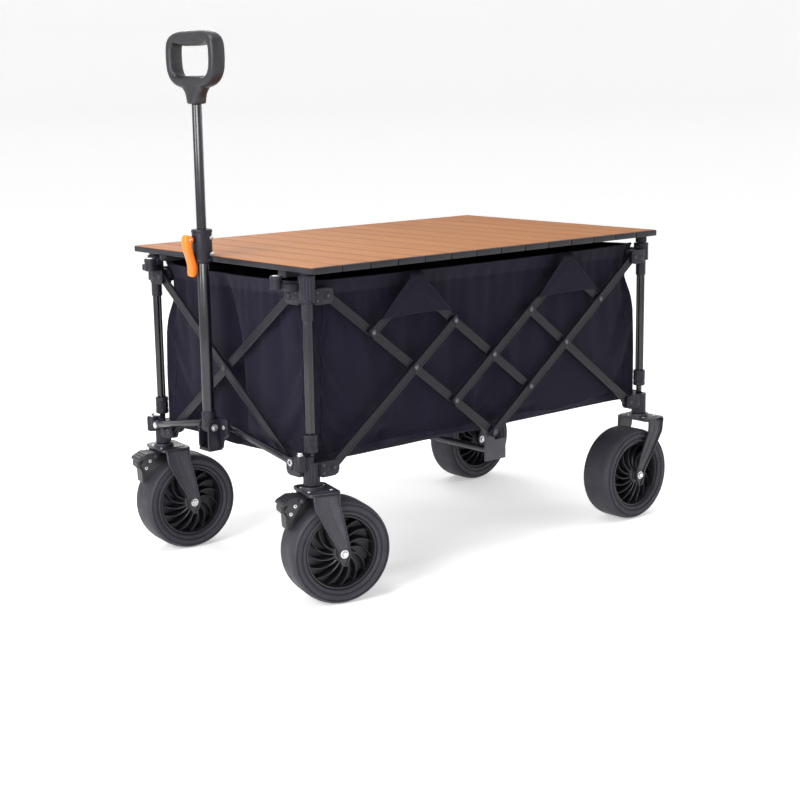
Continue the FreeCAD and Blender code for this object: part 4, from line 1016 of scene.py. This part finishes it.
def lever_hinge():
    """The clamp lever's hinge, as (x, z)."""
    low, high = box_mm("clamp_lever")
    return low.x + 12.0, high.z - 9.0


def lever():
    """The orange cam lever: an S-shaped blade that hangs in front of the clamp."""
    x, z = lever_hinge()
    piece = Piece("cam_lever", Matrix.Translation((x, 0, z)))
    spine = [
        (-1.5, 9.0, 7.4), (-4.0, 2.0, 9.0), (-5.0, -8.0, 8.6), (-3.0, -20.0, 7.8), (1.5, -33.0, 7.4),
        (5.0, -45.0, 7.8), (6.6, -56.0, 8.4), (5.0, -65.0, 7.6), (2.5, -71.0, 5.0),
    ]
    last = len(spine) - 1
    rings = []
    for k, (cx, cz, thick) in enumerate(spine):
        ahead = Vector(spine[min(k + 1, last)][:2]) - Vector(spine[max(k - 1, 0)][:2])
        ahead.normalize()
        half = 7.38 if k in (0, last) else 9.0
        ring = []
        for c, s in circle(20):
            wide, deep = swollen(c, 0.6) * half, swollen(s, 0.75) * thick
            ring.append((cx - ahead.y * deep, wide, cz + ahead.x * deep))
        rings.append(ring)
    piece.loft(rings, lever_plastic)
    for sign in (-1, 1):
        piece.rod((0.0, sign * 4.6, 0.0), (0.0, sign * 8.6, 0.0), 6.0, lever_plastic, 0.8, 28)
        piece.dome((0.0, sign * 8.4, 0.0), (0, sign, 0), 2.8, 1.4, bolt_zinc)
    made = piece.done("lever", "lever_plastic", "clamp_lever", sharp=60.0)
    step = made.modifiers.new("smooth", "SUBSURF")
    step.levels = step.render_levels = 1
    keep_modifiers(made)


def keep_modifiers(made):
    """Turns what the modifiers make of a mesh into the mesh itself."""
    bpy.context.view_layer.update()
    seen = made.evaluated_get(bpy.context.evaluated_depsgraph_get())
    data = bpy.data.meshes.new_from_object(seen)
    made.modifiers.clear()
    old, made.data = made.data, data
    bpy.data.meshes.remove(old)


def grip():
    """The D-shaped grip: a padded ring that narrows to a neck on the upper tube."""
    low, high = box_mm("handle_grip")
    half, depth = (high.y - low.y) / 2, (high.x - low.x) / 2 * 0.94
    ring_low = low.z + 28.0
    middle_z, tall = (high.z + ring_low) / 2, (high.z - ring_low) / 2
    piece = Piece("pull_grip", Matrix.Translation((HANDLE_X, 0, 0)))
    rings = []
    for c, s in circle(72):
        wide, rise = swollen(c, 0.52), swollen(s, 0.52)
        narrowed = 1 - 0.2 * min(0.0, rise) ** 2
        outer = Vector((wide * half * narrowed, rise * tall))
        limb = 20.0 + 9.0 * max(0.0, s) ** 3 + 2.0 * max(0.0, -s) ** 3
        inner = outer - Vector((c * 1.15, s)).normalized() * limb
        inner.x = max(19 - half, min(half - 19, inner.x))
        centre, reach = (outer + inner) / 2, (outer - inner) / 2
        ring = []
        for along, through in circle(20, 0.7):
            flat = centre + reach * along
            ring.append((through * depth, flat.x, middle_z + flat.y))
        rings.append(ring)
    piece.loft(rings, grip_plastic, closed=True)
    neck_tall = 54.0
    neck = [
        [(c * deep, s * wide, low.z + share * neck_tall) for c, s in circle(32, 0.8)]
        for share, wide, deep in (
            (0.0, 15.5, 15.5), (0.06, 17.0, 17.0), (0.2, 18.5, 17.0), (0.36, 24.0, 16.5),
            (0.5, 33.0, 16.0), (0.64, 43.0, 15.5), (0.8, 51.0, 14.5), (0.9, 53.0, 12.0), (0.96, 50.0, 7.0),
        )
    ]
    piece.loft(neck, grip_plastic)
    made = piece.done("handle_inner", "grip_plastic", "handle_grip", sharp=80.0)
    melt = made.modifiers.new("melt", "REMESH")
    melt.mode = "VOXEL"
    melt.voxel_size = 0.0016
    melt.use_smooth_shade = True
    made.modifiers.new("ease", "SMOOTH").iterations = 8
    keep_modifiers(made)
    made.data.materials.clear()
    made.data.materials.append(grip_plastic)


# ------------------------------------------------------------ table


def table():
    """The slats with wood film on top and dark end caps, on two rails with four feet."""
    piece = Piece("table_top")
    low, high = SLATS_LOW, SLATS_HIGH
    cap, joint = 5.0, 0.2
    for k in range(SLAT_COUNT):
        front = low.x + k * SLAT_PITCH
        rear = front + SLAT_PITCH - SLAT_GAP
        core = oblong(front, rear, low.z, high.z - 0.5, 2.2)
        film = oblong(front + 0.3, rear - 0.3, high.z - 3.0, high.z, 1.5)
        end = oblong(front + 0.2, rear - 0.2, low.z, high.z - 0.3, 2.4)
        piece.plate(core, "y", low.y + cap, high.y - cap, rail_paint, 0.0)
        piece.plate(film, "y", low.y + cap - joint, high.y - cap + joint, slat_wood, 0.0)
        piece.plate(end, "y", low.y, low.y + cap - joint, rail_paint, 1.2)
        piece.plate(end, "y", high.y, high.y - cap + joint, rail_paint, 1.2)
    piece.done("table", "slat_print", "table_slats")
    rails = Piece("table_underframe")
    foot_z = box_mm("table_rails")[0].z
    rail_z, rail_half = 611.2, 12
    for sign in (-1, 1):
        y = sign * 198.0
        section = oblong(y - rail_half, y + rail_half, rail_z, low.z, 2.0)
        rails.plate(section, "x", -476.0, 453.0, rail_paint, 0.8)
        for k in range(SLAT_COUNT):
            rails.dome((low.x + (k + 0.5) * SLAT_PITCH, y, rail_z + 0.1), (0, 0, -1), 3.4, 1.6, bolt_zinc)
        for end in (-1, 1):
            x, y = end * POST_X, sign * POST_Y
            rails.rod((x, y, foot_z), (x, y, low.z), 12.0, bracket_plastic, 1.2, 96, 14, 1.2)
            rails.rod((x, y, low.z - 4), (x, y, low.z), 12.6, bracket_plastic, 0.8, 48)
    rails.done("table", "rail_paint", "table_rails")


# ------------------------------------------------------------ bag

WALL_X, WALL_Y = BAG_HIGH.x, 242.0
CLOTH_THICK = 1.6
GRID_STEP = 12.0
FLAP_FACE = BAG_HIGH.y - 1.0
WALL_SLACK, FLOOR_SLACK = 0.02, 0.008


def corner_seam(z):
    """Where a corner's seam stands at a height: nearly square low down, drawn in above."""
    drawn = np.interp(z, [264, 380, 460, 490, 530, 570, 604], [-5, -5, -3, 0, 10, 10, 0])
    return 443.0 - drawn, 235.0 - drawn


def wall_grid(row, arch, sag):
    """Points over one wall. arch lifts its foot between the middle and the corners."""
    pick = 0 if row.axis == "x" else 1
    half, face = (WALL_X, WALL_Y) if row.axis == "x" else (WALL_Y, WALL_X)
    columns, rows = int(2 * half / GRID_STEP) + 1, int((BAG_HIGH.z - BAG_LOW.z) / GRID_STEP) + 1
    grid = np.zeros((rows, columns, 3))
    for i, j in np.ndindex(rows, columns):
        u = 2 * j / (columns - 1) - 1
        low = BAG_LOW.z + arch * abs(math.sin(math.pi * u))
        high = BAG_HIGH.z - sag * math.cos(math.pi * u / 2) ** 0.5
        z = low + (high - low) * i / (rows - 1)
        seam = corner_seam(z)
        place = u * seam[pick]
        near = max(0.0, 1 - (seam[pick] - abs(place)) / 40.0)
        out = face - (face - seam[1 - pick]) * near * near * (3 - 2 * near)
        out += 0.8 * noise.noise(Vector((place, row.outward * 50, z)) * 0.02)
        grid[i, j] = (place, row.outward * out, z) if row.axis == "x" else (row.outward * out, place, z)
    return grid


def hang(grid, slack, frames=20):
    """Lets a panel that is held along all its edges sag, and gives its points back."""
    rows, columns = grid.shape[:2]
    at = np.arange(rows * columns).reshape(rows, columns)
    faces = np.stack([at[:-1, :-1], at[:-1, 1:], at[1:, 1:], at[1:, :-1]], axis=-1).reshape(-1, 4)
    data = bpy.data.meshes.new("panel")
    data.from_pydata((grid.reshape(-1, 3) * MM).tolist(), [], faces.tolist())
    panel = shown("panel", data)
    inside = np.pad(np.ones((rows - 2, columns - 2), bool), 1)
    panel.vertex_groups.new(name="held").add(at[~inside].tolist(), 1.0, "REPLACE")
    settings = panel.modifiers.new("cloth", "CLOTH").settings
    settings.quality = 6
    settings.mass = 0.32
    settings.tension_stiffness = settings.compression_stiffness = 15.0
    settings.shear_stiffness = 5.0
    settings.bending_stiffness = 1.2
    settings.shrink_min = -slack
    settings.vertex_group_mass = "held"
    for frame_number in range(1, frames + 1):
        bpy.context.scene.frame_set(frame_number)
    seen = panel.evaluated_get(bpy.context.evaluated_depsgraph_get())
    sagged = np.array([v.co for v in seen.data.vertices]).reshape(grid.shape) / MM
    bpy.data.objects.remove(panel)
    bpy.data.meshes.remove(data)
    bpy.context.scene.frame_set(1)
    return sagged


def kept_within(sagged, start, way, inward, outward):
    """Holds back how far a panel has moved across itself, so that it clears the frame."""
    way = np.array(way, float)
    moved = ((sagged - start) @ way)[..., None]
    return sagged + (np.clip(moved, -inward, outward) - moved) * way


def finer(grid):
    """Twice as many points each way, on smooth curves through the given ones."""
    for _ in range(2):
        ends = np.concatenate([2 * grid[:1] - grid[1:2], grid, 2 * grid[-1:] - grid[-2:-1]])
        between = (9 * (ends[1:-2] + ends[2:-1]) - ends[:-3] - ends[3:]) / 16
        made = np.empty((2 * len(grid) - 1, *grid.shape[1:]))
        made[0::2], made[1::2] = grid, between
        grid = made.transpose(1, 0, 2)
    return grid


def cloth_skin(piece, grid, finish, lift=0.0, thick=CLOTH_THICK):
    """Adds a grid of points as a closed sheet. lift moves it off along its normals."""
    normal = np.cross(np.gradient(grid, axis=1), np.gradient(grid, axis=0))
    normal /= np.linalg.norm(normal, axis=2, keepdims=True)
    rows, columns = grid.shape[:2]
    part = bmesh.new()
    skins = []
    for side in (lift - thick / 2, lift + thick / 2):
        skins.append([[part.verts.new(p) for p in line] for line in grid + normal * side])
    for skin in skins:
        for line, after in zip(skin, skin[1:]):
            for j in range(columns - 1):
                part.faces.new((line[j], line[j + 1], after[j + 1], after[j]))
    border = [(0, j) for j in range(columns)] + [(i, columns - 1) for i in range(1, rows)]
    border += [(rows - 1, j) for j in range(columns - 2, -1, -1)] + [(i, 0) for i in range(rows - 2, 0, -1)]
    for (a, b), (c, d) in zip(border, border[1:] + border[:1]):
        part.faces.new((skins[0][a][b], skins[0][c][d], skins[1][c][d], skins[1][a][b]))
    piece.take(part, finish)


def lay_out(piece, first, second):
    """Lays the weave over a piece along two of its axes, in metres."""
    layer = piece.mesh.loops.layers.uv.new("weave")
    for face in piece.mesh.faces:
        for loop in face.loops:
            loop[layer].uv = (loop.vert.co[first] * MM, loop.vert.co[second] * MM)


def closing(made):
    """Gives a panel a mesh of its own."""
    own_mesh(made)


def bound_wall(name, row, start, end, side, flaps=()):
    """A wall with its rim binding, bottom hem and corner piping, as one piece of cloth.

    It rides on the corner given by end and side."""
    fine = finer(kept_within(hang(start, WALL_SLACK), start, row.way, 14.0, 4.0))
    outside = 1.0 if (row.outward < 0) == (row.axis == "x") else -1.0
    piece = Piece(name)
    cloth_skin(piece, fine, bag_cloth)
    rim, hem = fine[-5:], fine[:3]
    for band, face in ((rim, outside), (hem, outside), (rim, -outside)):
        cloth_skin(piece, band, hem_cloth, 1.3 * face, 1.4)
    piece.strip(fine[-1][::2], 3.6, 5.0, hem_cloth, UP)
    piece.strip(fine[0][::2], 4.0, 4.2, hem_cloth, UP)
    for column in (0, -1):
        piece.strip(fine[::2, column], 3.6, 3.6, hem_cloth, row.way)
    for column in (4, -5):
        piece.strip(fine[4:-4:2, column] + np.array(row.way), 3.0, 1.4, hem_cloth, UP, 8)
    for middle in flaps:
        flap(piece, middle, row.outward)
    if row.axis == "x":
        lay_out(piece, 0, 2)
        made = piece.done(f"{end}_{side}_upper", "bag_fabric", "bag", sharp=60.0)
        closing(made)
    else:
        lay_out(piece, 1, 2)
        made = piece.done(f"{end}_{side}_upper", "bag_fabric", "bag", sharp=60.0)
        closing(made)
    return made


def flap(piece, middle, outward):
    """A sleeve of the bag that hangs from its rim over the lattice's upper pivot."""
    over = [
        (WALL_Y + 1.0, 590.0), (WALL_Y + 1.6, 598.0), (WALL_Y + 5, 602.4), (WALL_Y + 12, 603.6),
        (WALL_Y + 19, 602.6), (FLAP_FACE - 1.2, 598.0),
    ]
    over += [(FLAP_FACE, z) for z in (590.0, 580.0, 570.0, 560.0, 550.0, 540.0, 530.0, 521.0)]
    columns = 27
    bar_slope = 80.0 / 105.0
    grid = np.zeros((len(over), columns, 3))
    for i, j in np.ndindex(len(over), columns):
        y, z = over[i]
        u = 2 * j / (columns - 1) - 1
        across = u * np.interp(z, [520, 592], [89, 17])
        if i > 5:
            off_bar = abs(z - (PIVOT_HIGH - bar_slope * abs(across)))
            y += 1.2 * math.exp(-(off_bar / 9.0) ** 2) - 0.9
        if i == len(over) - 1:
            z += 4.0 * (1 - u * u)
        grid[i, j] = (middle + across, outward * y, z)
    fine = finer(grid)
    cloth_skin(piece, fine, bag_cloth, 0.0, 1.4)
    edge = [*fine[12::2, 0], *fine[-1][::2], *fine[12:, -1][::-2]]
    piece.strip(edge, 2.6, 2.0, hem_cloth, (0, outward, 0), 10)


def side_wall(side):
    """A long wall, which rides on its front corner."""
    row = Row("x", SIDES[side])
    made = bound_wall(f"bag_wall_{side}", row, wall_grid(row, 6.0, 4.0), "front", side, (-210.0, 210.0))


def end_wall(end):
    """The front or rear wall, with the valley that its middle crease makes."""
    row = Row("y", ENDS[end])
    start = wall_grid(row, 5.0, 7.0)
    for point in start.reshape(-1, 3):
        rise = (point[2] - BAG_LOW.z) / (BAG_HIGH.z - BAG_LOW.z)
        off = point[1] - np.interp(rise, [0.25, 0.65, 1.0], [-12.0, -8.0, 34.0])
        fade = math.sin(math.pi * min(1.0, max(0.0, 0.06 + 0.88 * rise)))
        valley = math.exp(-((off / 21.0) ** 2))
        bulges = math.exp(-(((abs(off) - 90.0) / 60.0) ** 2))
        point[0] -= row.outward * fade * (24.0 * valley - 3.5 * bulges)
    made = bound_wall(f"bag_wall_{end}", row, start, end, "left")


def floor_panel(name, low_y, high_y, body):
    """One strip of the bag's floor, quilted to a stiffener."""
    rows, columns = max(3, int((high_y - low_y) / GRID_STEP)), 61
    half = 446.0
    start = np.zeros((rows, columns, 3))
    for i, j in np.ndindex(rows, columns):
        u = 2 * j / (columns - 1) - 1
        y = low_y + (high_y - low_y) * i / (rows - 1)
        start[i, j] = (u * half, y, BAG_LOW.z + 3.0 + 0.6 * noise.noise(Vector((u * 6, y * 0.03, 3))))
    fine = finer(kept_within(hang(start, FLOOR_SLACK), start, UP, 8.0, 2.0))
    piece = Piece(name)
    cloth_skin(piece, fine, bag_cloth, 0.0, 2.6)
    for line in (fine[0], fine[-1]):
        piece.strip(line[::2] - np.array((0, 0, 0.8)), 8.0, 2.6, hem_cloth, (0, 1, 0))
    lay_out(piece, 0, 1)
    made = piece.done(body, "bag_fabric", "bag", sharp=60.0)
    closing(made)


# ------------------------------------------------------------ putting it together

for corner in CORNERS:
    for build in (top_bracket, post, bottom_bracket, caster_fork, wheel_rim, tyre):
        build(*corner)
for side_name in SIDES:
    for build in (side_lattice, brake, pull_arm, side_wall):
        build(side_name)
for end_name in ENDS:
    end_lattice(end_name)
    end_wall(end_name)
floor_panel("bag_floor_left", -240.0, -50.0, "front_left_upper")
floor_panel("bag_floor_right", 50.0, 240.0, "front_right_upper")
floor_panel("bag_floor_middle", -50.0, 50.0, "pull_block")
for build in (handle_bracket, outer_tube, inner_tube, lever, grip, table):
    build()

# The floor hubs and links are shown as the CAD made them, in the fork's paint.
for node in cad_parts.values():
    if not node.hide_render:
        node.data.materials.clear()
        node.data.materials.append(fork_paint)


# ------------------------------------------------------------ floor, lights and camera


def studio_floor():
    """A round white paper sweep: flat under the wagon and curved up far away."""
    part = bmesh.new()
    profile = ((0.0, 0.0), (8.0, 0.0), (20.0, 0.0), (22.5, 0.5), (24.2, 1.9), (25.0, 4.0), (25.0, 9.0))
    points = [part.verts.new((reach, 0.0, rise)) for reach, rise in profile]
    edges = [part.edges.new(pair) for pair in zip(points, points[1:])]
    bmesh.ops.spin(
        part, geom=points + edges, axis=UP, cent=ORIGIN, steps=96, angle=FULL_TURN, use_merge=True
    )
    bmesh.ops.remove_doubles(part, verts=part.verts, dist=0.001)
    for face in part.faces:
        face.smooth = True
    data = bpy.data.meshes.new("studio_floor")
    part.to_mesh(data)
    part.free()
    paper = Finish("studio_paper", 0.9, Specular_IOR_Level=0.0, Emission_Strength=0.36)
    paper.feed(paper.shader["Emission Color"], (1.0, 1.0, 1.0))
    white = paper.mixed(paper.noise(3.0), (0.9, 0.9, 0.9), (0.93, 0.93, 0.93))
    data.materials.append(paper.done(white, 0.9, (paper.noise(300.0), 0.0001)))
    shown("studio_floor", data)


def soft_light(name, spot, target, size, watts):
    """A large square softbox at a place, turned to face another."""
    lamp = bpy.data.lights.new(name, "AREA")
    lamp.shape = "SQUARE"
    lamp.size = size
    lamp.energy = watts
    made = shown(name, lamp)
    made.location = spot
    made.rotation_euler = (Vector(target) - Vector(spot)).to_track_quat("-Z", "Y").to_euler()


def studio_camera():
    """The camera, from the front left corner at chest height, turned by three angles."""
    spot = (-2.1954, -2.5131, 0.9656)
    turn, tilt, lean = 0.856012, -0.199453, -0.015083
    ahead = Vector((math.cos(tilt) * math.cos(turn), math.cos(tilt) * math.sin(turn), math.sin(tilt)))
    right = ahead.cross(Vector(UP)).normalized()
    up = right.cross(ahead)
    leaned = right * math.cos(lean) + up * math.sin(lean)
    upright = up * math.cos(lean) - right * math.sin(lean)
    made = shown("studio_camera", bpy.data.cameras.new("studio_camera"))
    axes = Matrix((leaned, upright, -ahead)).transposed().to_4x4()
    made.matrix_world = Matrix.Translation(spot) @ axes
    made.data.lens = 71.9
    made.data.sensor_width = 36.0
    bpy.context.scene.camera = made


def studio_world():
    """A white sweep on the far side of the wagon that falls off to a dim room."""
    world = bpy.data.worlds.new("studio_world")
    world.use_nodes = True
    nodes, links = world.node_tree.nodes, world.node_tree.links
    axes = nodes.new("ShaderNodeSeparateXYZ")
    links.new(nodes.new("ShaderNodeTexCoord").outputs["Generated"], axes.inputs["Vector"])
    facing = nodes.new("ShaderNodeMath")
    facing.operation = "ADD"
    links.new(axes.outputs["X"], facing.inputs[0])
    links.new(axes.outputs["Y"], facing.inputs[1])
    level = nodes.new("ShaderNodeMapRange")
    links.new(facing.outputs["Value"], level.inputs["Value"])
    for name, value in (("From Min", -0.6), ("From Max", 0.7), ("To Min", 0.3), ("To Max", 1.02)):
        level.inputs[name].default_value = value
    background = nodes["Background"].inputs
    links.new(level.outputs["Result"], background["Strength"])
    background["Color"].default_value = (1.0, 1.0, 1.0, 1.0)
    bpy.context.scene.world = world


studio_floor()
studio_world()
studio_camera()
soft_light("front_light", (-2.9, -0.9, 1.7), (-0.2, 0.0, 0.45), 1.3, 75.0)
soft_light("top_light", (-1.0, -0.3, 2.9), (-0.3, 0.0, 0.4), 1.0, 34.0)
soft_light("right_light", (2.4, -2.2, 1.9), (0.1, 0.0, 0.4), 1.0, 13.0)
soft_light("back_light", (1.2, 3.0, 2.2), (0.0, 0.0, 0.5), 1.4, 30.0)
bpy.context.scene.view_settings.view_transform = "Standard"
